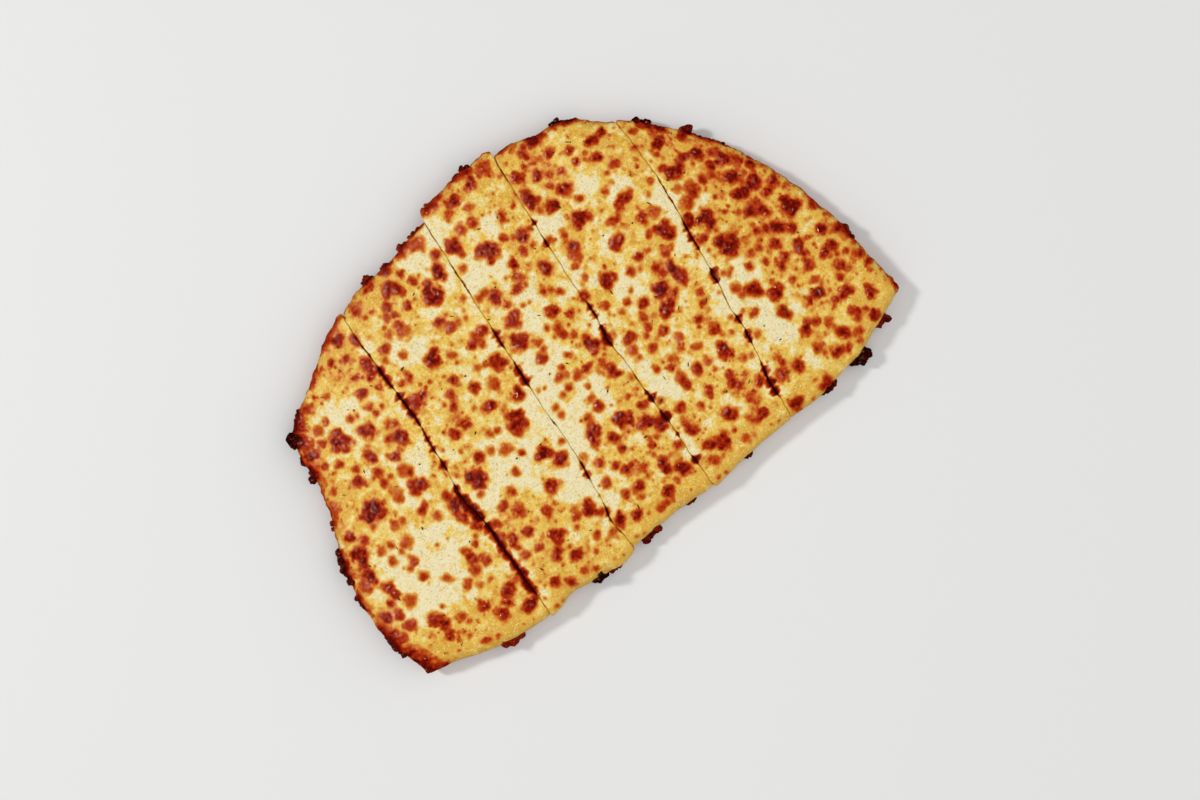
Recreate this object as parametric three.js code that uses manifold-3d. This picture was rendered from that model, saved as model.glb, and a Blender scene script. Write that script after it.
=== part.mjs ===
import * as THREE from 'three';
import { mergeVertices } from 'three/addons/utils/BufferGeometryUtils.js';
import Module from 'manifold-3d';

// Cheesy garlic bread: a half-moon of baked dough under melted, blistered cheese, cut
// across into five strips that still lie together. Sizes are in millimetres. +X runs
// along the straight edge, +Y towards the arc, and +Z up from the face it rests on.

const wasm = await Module();
wasm.setup();

// Driving dimensions of the plan. The arc follows a circle, which hand shaping pushes
// out or in over a few degrees. The straight edge bends up towards both corners.
const arc = { x: -1, y: 27.5, radius: 150.5 };
const arcBulges = [
  { angle: 176, out: 3.5, spread: 14 },
  { angle: 139, out: 14.5, spread: 8 },
  { angle: 124, out: 5.5, spread: 10 },
  { angle: 99, out: -5, spread: 12 },
  { angle: 62, out: 8, spread: 14 },
  { angle: 6, out: -4, spread: 22 },
];
const straightEdge = { y: -15, bendFrom: 88, bendTo: 148, rise: 15 };

// The four cuts: where each crosses three levels of Y, and where it gapes.
// A gape is [level, extra half width, reach].
const cutLevels = [-15, 75, 165];
const cutHalfWidth = 0.45;
const cuts = [
  { x: [-85, -78.5, -70.5], gapes: [[57, 1.9, 9], [18, 1.1, 15], [115, 0.4, 25]] },
  { x: [-33.6, -22.8, -11.8], gapes: [[20, 0.45, 15], [95, 0.5, 14], [152, 0.3, 8]] },
  { x: [15.8, 22.5, 33.5], gapes: [[73, 0.6, 7], [32, 0.4, 9], [0, 0.8, 5]] },
  { x: [66, 82, 93], gapes: [[62, 0.9, 7], [30, 0.8, 10], [5, 0.5, 9], [88, 0.4, 12]] },
];

// How far each strip's arc end and straight end stand out from the whole's outline.
const strips = [
  { headStep: 0, footStep: -0.8 },
  { headStep: -1.5, footStep: 1.2 },
  { headStep: 3, footStep: -0.6 },
  { headStep: -0.5, footStep: 0.4 },
  { headStep: 0, footStep: 0 },
];
// Angles where an end strip's side turns to its head, and between which its pointed
// corner lies, from inside to outside.
const outerCornerAngle = { left: 140, right: 48 };
const cornerSearch = { left: [170, 200], right: [10, -20] };

// Driving dimensions of the section, from the rim inwards.
const edgeHeight = 9;          // where the rim's side starts to round over
const shoulderHeight = 15;     // top of the rounded rim
const shoulderWidth = 7;
const crownHeight = 20.5;      // middle of the bread, on top of the cheese
const swellReach = 26;         // how quickly the top rises from the rim
const cheeseThickness = 3;
const layerGap = 0.3;
const wallInset = cheeseThickness + 2 * layerGap;   // the dough's wall behind the cheese
const lipHeight = 4.8;         // the cheese stops here on the rim's side
const doughShoulderDrop = 2.6;
const doughShoulderWidth = 5;
const ledgeInset = 0.6;         // the ledge under the lip, set back a little from the rim
const footFlare = 0.4;         // the foot stands out this far below the ledge
const baseInset = 1.2;         // and turns in to the flat base
const lipInset = 0.4;
const cornerRound = 3;         // plan corners of a strip
const cornerBlend = 6;         // reach over which the arc and the straight edge round together
const cutRoundDrop = 1.3;      // the cheese rounds over at a cut
const cutRoundWidth = 1.8;
const waves = [
  { size: 0.7, x: 11, y: 0, phase: 1 },
  { size: 0.6, x: 0, y: 14, phase: 0.4 },
  { size: 0.4, x: 9, y: 9, phase: 2 },
];

// Sampling of a strip's top: two rows in the rounded rim, then even steps.
const rimRows = [0, 2.3, 8];
const rimBelt = 6.5;           // an inset fades out over this far from the rim
const evenStep = 14;

// Browned blisters that stand out on each strip: [x, y, size along X, size along Y].
const blisters = [
  [
    [-120, 80, 15, 10], [-95, 75, 12, 9], [-110, 115, 9, 14], [-97, 111, 8, 8],
    [-87, 127, 6, 7], [-116, 96, 7, 5], [-86, 98, 6, 8], [-79, 154, 7, 6],
    [-97, 33, 6, 10], [-92, 9, 8, 7], [-103, 1, 7, 7], [-138, 66, 7, 13],
    [-137, 46, 6, 12], [-129, 22, 6, 8],
  ],
  [
    [-50, 118, 12, 7], [-30, 142, 10, 14], [-21, 147, 7, 9], [-70, 59, 11, 11],
    [-38, 68, 12, 12], [-37, 48, 8, 9], [-46, 34, 10, 5], [-58, 14, 9, 8],
    [-38, 14, 7, 12], [-56, 1, 10, 5], [-44, 157, 12, 6], [-26, 95, 8, 8],
    [-29, 79, 8, 8], [-76, 24, 6, 9],
  ],
  [
    [-7, 152, 10, 9], [4, 140, 10, 13], [21, 135, 7, 7], [-7, 122, 8, 7],
    [20, 117, 7, 8], [-8, 107, 9, 9], [-12, 98, 10, 8], [10, 98, 7, 7],
    [7, 170, 7, 6], [18, 171, 8, 6], [14, 75, 7, 11], [-12, 42, 11, 7],
    [4, 37, 11, 8], [3, 7, 6, 9],
  ],
  [
    [48, 124, 10, 9], [36, 147, 8, 10], [41, 138, 9, 6], [38, 160, 7, 6],
    [40, 93, 12, 7], [75, 95, 9, 10], [72, 118, 13, 6], [56, 74, 8, 8],
    [52, 65, 10, 8], [68, 73, 8, 9], [61, 31, 8, 10], [55, 16, 7, 11],
    [43, 6, 8, 7], [33, -2, 7, 9], [56, -4, 10, 6],
  ],
  [
    [95, 69, 12, 12], [94, 85, 9, 9], [99, 113, 10, 7], [91, 45, 8, 9],
    [99, 37, 9, 7], [95, 27, 7, 8], [98, 14, 9, 7], [83, 2, 7, 6],
    [111, 24, 11, 5], [134, 8, 9, 8], [111, 1, 8, 7], [131, 65, 8, 14],
    [134, 46, 7, 6], [121, 45, 6, 10], [124, 85, 8, 8],
  ],
];
// Smaller blisters are strewn by a low-discrepancy rule and keep clear of the others.
const strewn = { tries: 24, smallest: 4.2, largest: 7.2, spacing: 0.62, margin: 5 };
const sequence = { x: 0.7548776662466927, y: 0.5698402909980532, size: 0.6180339887498949 };
const blisterHeight = { base: 0.7, perSize: 0.11 };
const blisterSink = 0.9;       // how deep a blister's outline lies in the cheese
const blisterRoot = 1.2;       // and how deep its underside
const blisterCutMargin = 1.3;  // how far it stays from a cut's face
const blisterSides = 6;

// Dark, crisp crags that stand out of the foot, along the arc (at an angle in degrees)
// and along the straight edge (at X): [place, length along the rim, width, height].
const crags = [
  { arc: [[141, 14, 10, 8], [148, 10, 6, 6], [165, 16, 6, 6], [181, 18, 5, 6]],
    edge: [[-107, 10, 7, 5]] },
  { arc: [[110, 10, 5, 6], [99, 12, 5, 6]], edge: [[-57, 8, 5, 6], [-46, 9, 5, 5]] },
  { arc: [[91, 12, 5, 6], [82, 9, 5, 6]], edge: [[-23, 9, 5, 6], [5, 10, 4, 5]] },
  { arc: [[68.5, 10, 5, 6], [62.5, 14, 5, 6]], edge: [[38, 8, 5, 5]] },
  { arc: [[47, 9, 7, 7], [40.5, 8, 7, 6], [33.5, 11, 4, 5], [4, 10, 5, 6]],
    edge: [[90, 9, 6, 6], [111, 10, 9, 6], [129, 9, 7, 6]] },
];
const cragSides = 6;
const cragGap = 0.4;
const cragLift = 0.1;

const placeX = 4.65;           // moves the middle of the whole's box to the origin
const placeY = -81.98;

const mix = (a, b, t) => a + (b - a) * t;
const fraction = (value) => value - Math.floor(value);
const hump = (distance, reach) => Math.exp(-((distance / reach) ** 2));

// Radius of the arc at an angle in degrees, plus the strip's own step.
function arcRadius(angle, strip) {
  let radius = arc.radius + strips[strip].headStep;
  for (const bulge of arcBulges) radius += bulge.out * hump(angle - bulge.angle, bulge.spread);
  return radius;
}

function arcAngle(x, y) {
  const angle = THREE.MathUtils.radToDeg(Math.atan2(y - arc.y, x - arc.x));
  return angle < -90 ? angle + 360 : angle;
}

function arcPoint(angle, strip) {
  const radius = arcRadius(angle, strip);
  const turn = THREE.MathUtils.degToRad(angle);
  return [arc.x + radius * Math.cos(turn), arc.y + radius * Math.sin(turn)];
}

// Y of the straight edge, which bends up towards the corners.
function footLine(x, strip) {
  const span = straightEdge.bendTo - straightEdge.bendFrom;
  const bend = Math.max(0, (Math.abs(x) - straightEdge.bendFrom) / span);
  return straightEdge.y - strips[strip].footStep + straightEdge.rise * bend ** 1.5;
}

// X of a cut's middle line: a parabola through its three levels.
function cutLine(cut, y) {
  const half = cutLevels[2] - cutLevels[1];
  const t = (y - cutLevels[1]) / half;
  const [low, middle, high] = cut.x;
  return middle + (high - low) / 2 * t + ((high + low) / 2 - middle) * t * t;
}

function cutOpening(cut, y) {
  return cut.gapes.reduce((sum, [at, extra, reach]) => sum + extra * hump(y - at, reach), cutHalfWidth);
}

// Distance from a plan point to the outer rim, rounded where the arc meets the edge.
function rimDistance(x, y, strip) {
  const toArc = arcRadius(arcAngle(x, y), strip) - Math.hypot(x - arc.x, y - arc.y);
  const toEdge = y - footLine(x, strip);
  const blend = Math.max(0, cornerBlend - Math.abs(toArc - toEdge)) / cornerBlend;
  return Math.max(0, Math.min(toArc, toEdge) - blend * blend * cornerBlend / 4);
}

// Limits in X of a strip at a level of Y: the faces of the cuts beside it.
function cutFaces(y, strip) {
  const left = cuts[strip - 1];
  const right = cuts[strip];
  return [
    left ? cutLine(left, y) + cutOpening(left, y) : -Infinity,
    right ? cutLine(right, y) - cutOpening(right, y) : Infinity,
  ];
}

// A quarter ellipse: how far a rounded edge has dropped at a distance from it.
function roundedDrop(distance, width, drop) {
  const t = Math.max(0, 1 - Math.max(0, distance) / width);
  return drop * (1 - Math.sqrt(Math.max(0, 1 - t * t)));
}

// Height of the bread's unrounded top: a crown with slow waves.
function crown(x, y, rimAway) {
  const swell = (crownHeight - shoulderHeight) * (1 - Math.exp(-rimAway / swellReach));
  const rolling = waves.reduce((sum, wave) => {
    const across = (wave.x ? x / wave.x : 0) + (wave.y ? y / wave.y : 0);
    return sum + wave.size * Math.sin(across + wave.phase);
  }, 0);
  return shoulderHeight + swell + rolling * Math.min(1, rimAway / shoulderWidth);
}

// Top of the cheese: the crown, rounded off at the rim and a little at the cuts.
function cheeseTop(x, y, strip) {
  const rimAway = rimDistance(x, y, strip);
  const [left, right] = cutFaces(y, strip);
  const cutAway = Math.min(x - left, right - x);
  return crown(x, y, rimAway)
    - roundedDrop(rimAway, shoulderWidth, shoulderHeight - edgeHeight)
    - roundedDrop(cutAway, cutRoundWidth, cutRoundDrop);
}

// Top of the dough under the cheese: its wall stands further in than the rim.
function doughTop(x, y, strip) {
  const rimAway = rimDistance(x, y, strip);
  const inside = rimAway - wallInset;
  return crown(x, y, rimAway) - cheeseThickness - layerGap
    - roundedDrop(inside, doughShoulderWidth, doughShoulderDrop);
}

// Angle where a strip's arc end meets the face of a cut.
function headAngle(cut, side, strip) {
  let [x, y] = [cutLine(cut, cutLevels[2]), cutLevels[2]];
  for (let pass = 0; pass < 20; pass += 1) {
    x = cutLine(cut, y) + side * cutOpening(cut, y);
    y = arc.y + Math.sqrt(arcRadius(arcAngle(x, y), strip) ** 2 - (x - arc.x) ** 2);
  }
  return arcAngle(x, y);
}

// X where the face of a cut meets the straight edge.
function footX(cut, side, strip) {
  let y = cutLevels[0];
  for (let pass = 0; pass < 10; pass += 1) {
    y = footLine(cutLine(cut, y) + side * cutOpening(cut, y), strip);
  }
  return cutLine(cut, y) + side * cutOpening(cut, y);
}

// Angle of a pointed corner, where the arc meets the straight edge.
function cornerAngle([inside, outside], strip) {
  for (let pass = 0; pass < 40; pass += 1) {
    const middle = (inside + outside) / 2;
    const [x, y] = arcPoint(middle, strip);
    if (y > footLine(x, strip)) inside = middle;
    else outside = middle;
  }
  return inside;
}

// The four edges of a strip's plan, each a function of 0 to 1.
function stripEdges(strip) {
  const leftCut = cuts[strip - 1];
  const rightCut = cuts[strip];
  const leftCorner = leftCut ? 0 : cornerAngle(cornerSearch.left, strip);
  const rightCorner = rightCut ? 0 : cornerAngle(cornerSearch.right, strip);
  const headLeft = leftCut ? headAngle(leftCut, 1, strip) : outerCornerAngle.left;
  const headRight = rightCut ? headAngle(rightCut, -1, strip) : outerCornerAngle.right;
  const footLeft = leftCut ? footX(leftCut, 1, strip) : arcPoint(leftCorner, strip)[0];
  const footRight = rightCut ? footX(rightCut, -1, strip) : arcPoint(rightCorner, strip)[0];

  const cutFace = (cut, side, footEnd, headEnd) => (t) => {
    const y = mix(footLine(footEnd, strip), arcPoint(headEnd, strip)[1], t);
    return [cutLine(cut, y) + side * cutOpening(cut, y), y];
  };
  return {
    foot: (t) => {
      const x = mix(footLeft, footRight, t);
      return [x, footLine(x, strip)];
    },
    head: (t) => arcPoint(mix(headLeft, headRight, t), strip),
    left: leftCut
      ? cutFace(leftCut, 1, footLeft, headLeft)
      : (t) => arcPoint(mix(leftCorner, headLeft, t), strip),
    right: rightCut
      ? cutFace(rightCut, -1, footRight, headRight)
      : (t) => arcPoint(mix(rightCorner, headRight, t), strip),
  };
}

const apart = (a, b) => Math.hypot(a[0] - b[0], a[1] - b[1]);

// Maps a strip's unit square to its plan. Rim sides move in by inset, which fades out
// over the rim belt, and the four corners are rounded.
function makePlan(strip) {
  const edges = stripEdges(strip);
  const rimLeft = strip === 0;
  const rimRight = strip === strips.length - 1;
  const fade = (distance) => Math.max(0, 1 - distance / rimBelt);

  // Coons patch: the sum of both pairs of edges less the bilinear corners.
  const patch = (u, v) => [0, 1].map((axis) => {
    const across = mix(edges.left(v)[axis], edges.right(v)[axis], u);
    const along = mix(edges.foot(u)[axis], edges.head(u)[axis], v);
    const low = mix(edges.foot(0)[axis], edges.foot(1)[axis], u);
    const high = mix(edges.head(0)[axis], edges.head(1)[axis], u);
    return across + along - mix(low, high, v);
  });

  return (u, v, inset) => {
    const width = apart(edges.left(v), edges.right(v));
    const length = apart(edges.foot(u), edges.head(u));
    let x = u * width;
    let y = v * length;
    const far = { x: width - x, y: length - y };
    if (rimLeft) x += inset * fade(u * width);
    if (rimRight) x -= inset * fade(far.x);
    y += inset * (fade(v * length) - fade(far.y));

    const nearX = Math.min(x, width - x);
    const nearY = Math.min(y, length - y);
    if (nearX < cornerRound && nearY < cornerRound) {
      const p = 1 - nearX / cornerRound;
      const q = 1 - nearY / cornerRound;
      const moveX = cornerRound * (p - p * Math.sqrt(Math.max(0, 1 - q * q / 2)));
      const moveY = cornerRound * (q - q * Math.sqrt(Math.max(0, 1 - p * p / 2)));
      x += x < width - x ? moveX : -moveX;
      y += y < length - y ? moveY : -moveY;
    }
    return patch(x / width, y / length);
  };
}

// Sample places along one side of a strip, as parts of its length.
function samples(length) {
  const inner = length - 2 * rimRows.at(-1);
  const count = Math.max(2, Math.round(inner / evenStep));
  const middle = Array.from({ length: count - 1 }, (_, i) => rimRows.at(-1) + inner * (i + 1) / count);
  const rows = [...rimRows, ...middle, ...[...rimRows].reverse().map((row) => length - row)];
  return rows.map((row) => row / length);
}

// The samples of a strip's top, and the loop round it that its sides hang from.
function makeLattice(strip) {
  const edges = stripEdges(strip);
  const us = samples((apart(edges.foot(0), edges.foot(1)) + apart(edges.left(0.5), edges.right(0.5))) / 2);
  const vs = samples(apart(edges.foot(0.5), edges.head(0.5)));
  const [lastU, lastV] = [us.length - 1, vs.length - 1];
  const loop = [];
  for (let i = 0; i < lastU; i += 1) loop.push([i, 0]);
  for (let j = 0; j < lastV; j += 1) loop.push([lastU, j]);
  for (let i = lastU; i > 0; i -= 1) loop.push([i, lastV]);
  for (let j = lastV; j > 0; j -= 1) loop.push([0, j]);
  return { us, vs, loop };
}

// True where a place on the loop belongs to the outer rim and not to a cut's face.
function onRim(lattice, strip, [i, j]) {
  const near = rimRows.length - 1;
  const endRow = j < near || j > lattice.vs.length - 1 - near;
  const rimSide = (strip === 0 && i === 0)
    || (strip === strips.length - 1 && i === lattice.us.length - 1);
  return endRow || rimSide;
}

// Writes closed meshes as triangles: grids of points and bands between loops.
class Facets {
  constructor() {
    this.corners = [];
  }

  triangle(a, b, c) {
    const same = (p, q) => p[0] === q[0] && p[1] === q[1] && p[2] === q[2];
    if (same(a, b) || same(b, c) || same(c, a)) return;
    this.corners.push(...a, ...b, ...c);
  }

  quad(a, b, c, d) {
    this.triangle(a, b, c);
    this.triangle(a, c, d);
  }

  grid(points, upwards) {
    for (let j = 0; j + 1 < points.length; j += 1) {
      for (let i = 0; i + 1 < points[j].length; i += 1) {
        const [a, b] = [points[j][i], points[j][i + 1]];
        const [c, d] = [points[j + 1][i + 1], points[j + 1][i]];
        if (upwards) this.quad(a, b, c, d);
        else this.quad(a, d, c, b);
      }
    }
  }

  band(upper, lower) {
    upper.forEach((point, i) => {
      const next = (i + 1) % upper.length;
      this.quad(lower[i], lower[next], upper[next], point);
    });
  }

  floor(loop) {
    const outline = loop.map((point) => new THREE.Vector2(point[0], point[1]));
    for (const [a, b, c] of THREE.ShapeUtils.triangulateShape(outline, [])) {
      this.triangle(loop[a], loop[c], loop[b]);
    }
  }

  solid() {
    const geometry = new THREE.BufferGeometry();
    geometry.setAttribute('position', new THREE.Float32BufferAttribute(this.corners, 3));
    return toSolid(geometry);
  }
}

function toSolid(geometry) {
  const bare = geometry.clone();
  bare.deleteAttribute('normal');
  bare.deleteAttribute('uv');
  const merged = mergeVertices(bare);
  return new wasm.Manifold(new wasm.Mesh({
    numProp: 3,
    vertProperties: new Float32Array(merged.attributes.position.array),
    triVerts: new Uint32Array(merged.index.array),
  }));
}

function toGeometry(solid) {
  const mesh = solid.getMesh();
  const geometry = new THREE.BufferGeometry();
  geometry.setAttribute('position', new THREE.Float32BufferAttribute(mesh.vertProperties, 3));
  geometry.setIndex(new THREE.Uint32BufferAttribute(mesh.triVerts, 1));
  return geometry;
}

// The dough of one strip: flat base, flared foot, a ledge under the cheese's lip, a
// wall in behind the cheese, and the top.
function doughBody(strip) {
  const lattice = makeLattice(strip);
  const plan = makePlan(strip);
  const ledge = lipHeight - layerGap;
  const topPoint = (i, j) => {
    const [x, y] = plan(lattice.us[i], lattice.vs[j], wallInset);
    return [x, y, doughTop(x, y, strip)];
  };
  const ring = (inset, height) => lattice.loop.map(([i, j]) => {
    if (!onRim(lattice, strip, [i, j])) return topPoint(i, j);
    const [x, y] = plan(lattice.us[i], lattice.vs[j], inset);
    return [x, y, height];
  });
  const base = lattice.loop.map(([i, j]) => [...plan(lattice.us[i], lattice.vs[j], baseInset), 0]);

  const facets = new Facets();
  facets.grid(lattice.vs.map((_, j) => lattice.us.map((__, i) => topPoint(i, j))), true);
  const rings = [
    lattice.loop.map(([i, j]) => topPoint(i, j)),
    ring(wallInset, ledge),
    ring(ledgeInset, ledge),
    ring(-footFlare, ledge / 2),
    base,
  ];
  for (let k = 0; k + 1 < rings.length; k += 1) facets.band(rings[k], rings[k + 1]);
  facets.floor(base);
  return facets.solid();
}

// The cheese of one strip: a skin over the dough's top that hangs down the rim's side.
function cheeseBody(strip) {
  const lattice = makeLattice(strip);
  const plan = makePlan(strip);
  const upperPoint = (i, j) => {
    const [x, y] = plan(lattice.us[i], lattice.vs[j], 0);
    return [x, y, cheeseTop(x, y, strip)];
  };
  const lowerPoint = (i, j) => {
    const under = plan(lattice.us[i], lattice.vs[j], wallInset);
    const place = plan(lattice.us[i], lattice.vs[j], wallInset - layerGap);
    return [...place, doughTop(...under, strip) + layerGap];
  };
  const lip = (inset) => lattice.loop.map(([i, j]) => {
    if (!onRim(lattice, strip, [i, j])) return lowerPoint(i, j);
    return [...plan(lattice.us[i], lattice.vs[j], inset), lipHeight];
  });

  const facets = new Facets();
  facets.grid(lattice.vs.map((_, j) => lattice.us.map((__, i) => upperPoint(i, j))), true);
  facets.grid(lattice.vs.map((_, j) => lattice.us.map((__, i) => lowerPoint(i, j))), false);
  const rings = [
    lattice.loop.map(([i, j]) => upperPoint(i, j)),
    lip(lipInset),
    lip(wallInset - layerGap),
    lattice.loop.map(([i, j]) => lowerPoint(i, j)),
  ];
  for (let k = 0; k + 1 < rings.length; k += 1) facets.band(rings[k], rings[k + 1]);
  return facets.solid();
}

// Small blisters between the large ones: each try is kept where it has room.
function strewnBlisters(strip) {
  const plan = makePlan(strip);
  const placed = blisters[strip].map(([x, y, sizeX, sizeY]) => [x, y, (sizeX + sizeY) / 2]);
  const found = [];
  for (let k = 1; k <= strewn.tries; k += 1) {
    const [x, y] = plan(fraction(k * sequence.x), fraction(k * sequence.y), 0);
    const size = mix(strewn.smallest, strewn.largest, fraction(k * sequence.size) ** 2);
    const [left, right] = cutFaces(y, strip);
    const room = Math.min(rimDistance(x, y, strip), x - left, right - x);
    const clear = placed.every(([px, py, other]) => (
      Math.hypot(x - px, y - py) > (size + other) * strewn.spacing));
    if (room > strewn.margin && clear) {
      placed.push([x, y, size]);
      found.push([x, y, size, size]);
    }
  }
  return found;
}

// One blister: a low dome with an uneven outline, sunk a little into the cheese.
function blisterDome([x, y, sizeX, sizeY], strip) {
  const height = blisterHeight.base + blisterHeight.perSize * (sizeX + sizeY) / 2;
  const ringPoints = (scale, lift) => Array.from({ length: blisterSides }, (_, i) => {
    const turn = 2 * Math.PI * i / blisterSides;
    const uneven = scale * (1 + 0.09 * Math.sin(3 * turn + x) + 0.07 * Math.sin(2 * turn + y)) / 2;
    const py = y + sizeY * uneven * Math.sin(turn);
    const [left, right] = cutFaces(py, strip);
    const wanted = x + sizeX * uneven * Math.cos(turn);
    const px = Math.min(Math.max(wanted, left + blisterCutMargin), right - blisterCutMargin);
    return [px, py, cheeseTop(px, py, strip) + lift];
  });
  const foot = ringPoints(1, -blisterSink);
  const waist = ringPoints(0.7, 0.72 * height);
  const surface = cheeseTop(x, y, strip);
  const facets = new Facets();
  facets.band(waist, foot);
  facets.band(waist.map(() => [x, y, surface + height]), waist);
  facets.band(foot, foot.map(() => [x, y, surface - blisterRoot]));
  return facets.solid();
}

// One crag of the foot: a low rounded lump that lies along the rim.
function cragSolid([x, y, lie], [length, width, height], grown) {
  const geometry = new THREE.SphereGeometry(0.5, cragSides, cragSides - 2);
  geometry.rotateX(Math.PI / 2);
  geometry.scale(length + 2 * grown, width + 2 * grown, height + 2 * grown);
  geometry.rotateZ(lie);
  geometry.translate(x, y, height / 2 + cragLift);
  return toSolid(geometry);
}

// Places of a strip's crags, each with its size.
function cragPlaces(strip) {
  const onArc = crags[strip].arc.map(([angle, ...size]) => {
    const lie = THREE.MathUtils.degToRad(angle) + Math.PI / 2;
    return { place: [...arcPoint(angle, strip), lie], size };
  });
  const onEdge = crags[strip].edge.map(([x, ...size]) => (
    { place: [x, footLine(x, strip), 0], size }));
  return [...onArc, ...onEdge];
}

function addMesh(group, name, solid, material) {
  const mesh = new THREE.Mesh(toGeometry(solid), material);
  mesh.name = name;
  group.add(mesh);
}

const garlicBread = new THREE.Group();
garlicBread.position.set(placeX, placeY, 0);

strips.forEach((_, strip) => {
  let dough = doughBody(strip);
  let cheese = cheeseBody(strip);
  for (const blister of [...blisters[strip], ...strewnBlisters(strip)]) {
    cheese = cheese.add(blisterDome(blister, strip));
  }
  for (const { place, size } of cragPlaces(strip)) {
    dough = dough.add(cragSolid(place, size, 0));
    cheese = cheese.subtract(cragSolid(place, size, cragGap));
  }
  addMesh(garlicBread, `bread_strip_${strip + 1}`, dough,
    new THREE.MeshStandardMaterial({ color: 0xb9772f, roughness: 0.75, metalness: 0 }));
  addMesh(garlicBread, `cheese_strip_${strip + 1}`, cheese,
    new THREE.MeshStandardMaterial({ color: 0xe6b45a, roughness: 0.4, metalness: 0 }));
});

export default garlicBread;
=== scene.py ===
from math import pi, radians

import bpy
import numpy as np
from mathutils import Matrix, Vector


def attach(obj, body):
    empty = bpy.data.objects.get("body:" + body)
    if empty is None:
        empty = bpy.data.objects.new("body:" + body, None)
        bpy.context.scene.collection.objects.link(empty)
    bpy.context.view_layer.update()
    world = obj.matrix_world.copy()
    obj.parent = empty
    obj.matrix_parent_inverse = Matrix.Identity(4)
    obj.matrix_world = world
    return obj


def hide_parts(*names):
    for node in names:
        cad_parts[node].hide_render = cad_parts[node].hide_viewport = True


# Cheesy garlic bread, dressed. Shapes are worked out in millimetres in the bread's own
# plan (X along the straight edge, Y to the arc) and go into the meshes in metres.

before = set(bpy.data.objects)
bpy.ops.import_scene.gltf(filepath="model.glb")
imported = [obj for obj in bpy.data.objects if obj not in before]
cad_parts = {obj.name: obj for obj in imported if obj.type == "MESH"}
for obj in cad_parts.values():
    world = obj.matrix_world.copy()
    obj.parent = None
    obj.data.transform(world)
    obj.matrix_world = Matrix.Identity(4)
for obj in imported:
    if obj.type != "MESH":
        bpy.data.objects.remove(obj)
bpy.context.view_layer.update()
mm = 0.001

halfMoon = {
    "middle": (-1.0, 27.5),          # of the circle that the arc follows
    "radius": 150.5,
    # bulges of the arc: angle, how far out, spread in degrees
    "bulges": ((176, 3.5, 14), (139, 14.5, 8), (124, 5.5, 10), (99, -5, 12), (62, 8, 14), (6, -4, 22),
               (187, -1.2, 3), (136, -2.2, 5), (112, 1.9, 5), (97, 1.5, 5), (67, -2.0, 3), (55, -1.8, 4),
               (40, 1.0, 12), (-10, 2.2, 4)),
    "edgeY": -15.0,                  # the straight edge, which bends up to the corners
    "bend": (88.0, 148.0, 15.0),     # from X, to X, rise
    # shallow waves of the straight edge: X, offset, reach
    "edgeWaves": ((-136, 1.2, 9), (-70, 3.3, 10), (-42, -1.8, 6), (16, -2.2, 14), (82, -1.0, 16),
                  (112, -1.2, 7)),
    "headStep": (0.0, -1.5, 3.0, -0.5, 0.0),   # how far each strip's head and foot stand out
    "footStep": (-0.8, 1.2, -0.6, 0.4, 0.0),
    "turnAngle": (140.0, 48.0),      # where an end strip's side turns to its head
    "cornerSearch": ((170.0, 200.0), (10.0, -20.0)),
    "cutLevels": (-15.0, 75.0, 165.0),
    "cutHalfWidth": 0.45,
    "cutWaver": ((0.15, 0.31), (0.10, 0.83)),  # of the knife: offset and radians for each millimetre
    "cutClosed": 0.06,               # half width where the cheese has run together
    "cutEase": 5.0,                  # of an open span's ends
    "cutStir": ((0.22, 1.1), (0.16, 2.3)),     # unevenness of an open span: share and radians
    "cutSide": 8.0,                  # what lies nearer to a cut than this is beside it
    "place": (4.65, -81.98),         # moves the plan to the part's own frame
}
# Cuts: X at three levels, sideways sway (Y, offset, reach), gapes of the dough (Y, extra,
# reach), and where the cheese stands open (from Y, to Y, width).
cuts = (
    {"x": (-85, -78.5, -70.5), "sway": ((57, -2.4, 9), (32, 0.5, 18), (104, 2.0, 18), (132, 0.6, 12)),
     "gapes": ((57, 1.9, 9), (18, 1.1, 15), (115, 0.4, 25)),
     "open": ((-3, 43, 1.9), (40, 66, 2.4), (70, 80, 1.5), (79, 97, 0.9), (95, 118, 1.4), (117, 134, 1.6),
              (132, 154, 0.6))},
    {"x": (-33.6, -22.8, -11.8), "sway": ((2, -1.8, 9), (42, 1.2, 16)),
     "gapes": ((20, 0.45, 15), (95, 0.5, 14), (152, 0.3, 8)),
     "open": ((-6, 0, 0.5), (0, 13, 1.0), (22, 37, 1.0), (54, 60, 0.7), (76, 93, 1.5), (97, 113, 1.1),
              (128, 150, 0.5), (158, 172, 0.3))},
    {"x": (15.8, 22.5, 33.5), "sway": ((22, 0.6, 8), (71, -1.1, 8), (86, 0.8, 7)),
     "gapes": ((73, 0.6, 7), (32, 0.4, 9), (0, 0.8, 5)),
     "open": ((-4, 3, 2.0), (11, 18, 0.7), (20, 30, 1.9), (32, 43, 1.4), (43, 53, 0.5), (66, 80, 2.1),
              (80, 94, 1.2), (121, 131, 1.1), (135, 140, 1.2), (158, 176, 0.5))},
    {"x": (66, 82, 93), "sway": ((6, -1.8, 14), (46, -0.9, 9), (66, 0.4, 6), (115, 1.8, 28)),
     "gapes": ((62, 0.9, 7), (30, 0.8, 10), (5, 0.5, 9), (88, 0.4, 12)),
     "open": ((-4, 17, 1.3), (24, 34, 1.9), (34, 43, 1.3), (45, 56, 0.4), (57, 67.5, 2.6), (74, 95, 1.0),
              (95, 118, 0.5))},
)
stripCount = len(cuts) + 1

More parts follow.
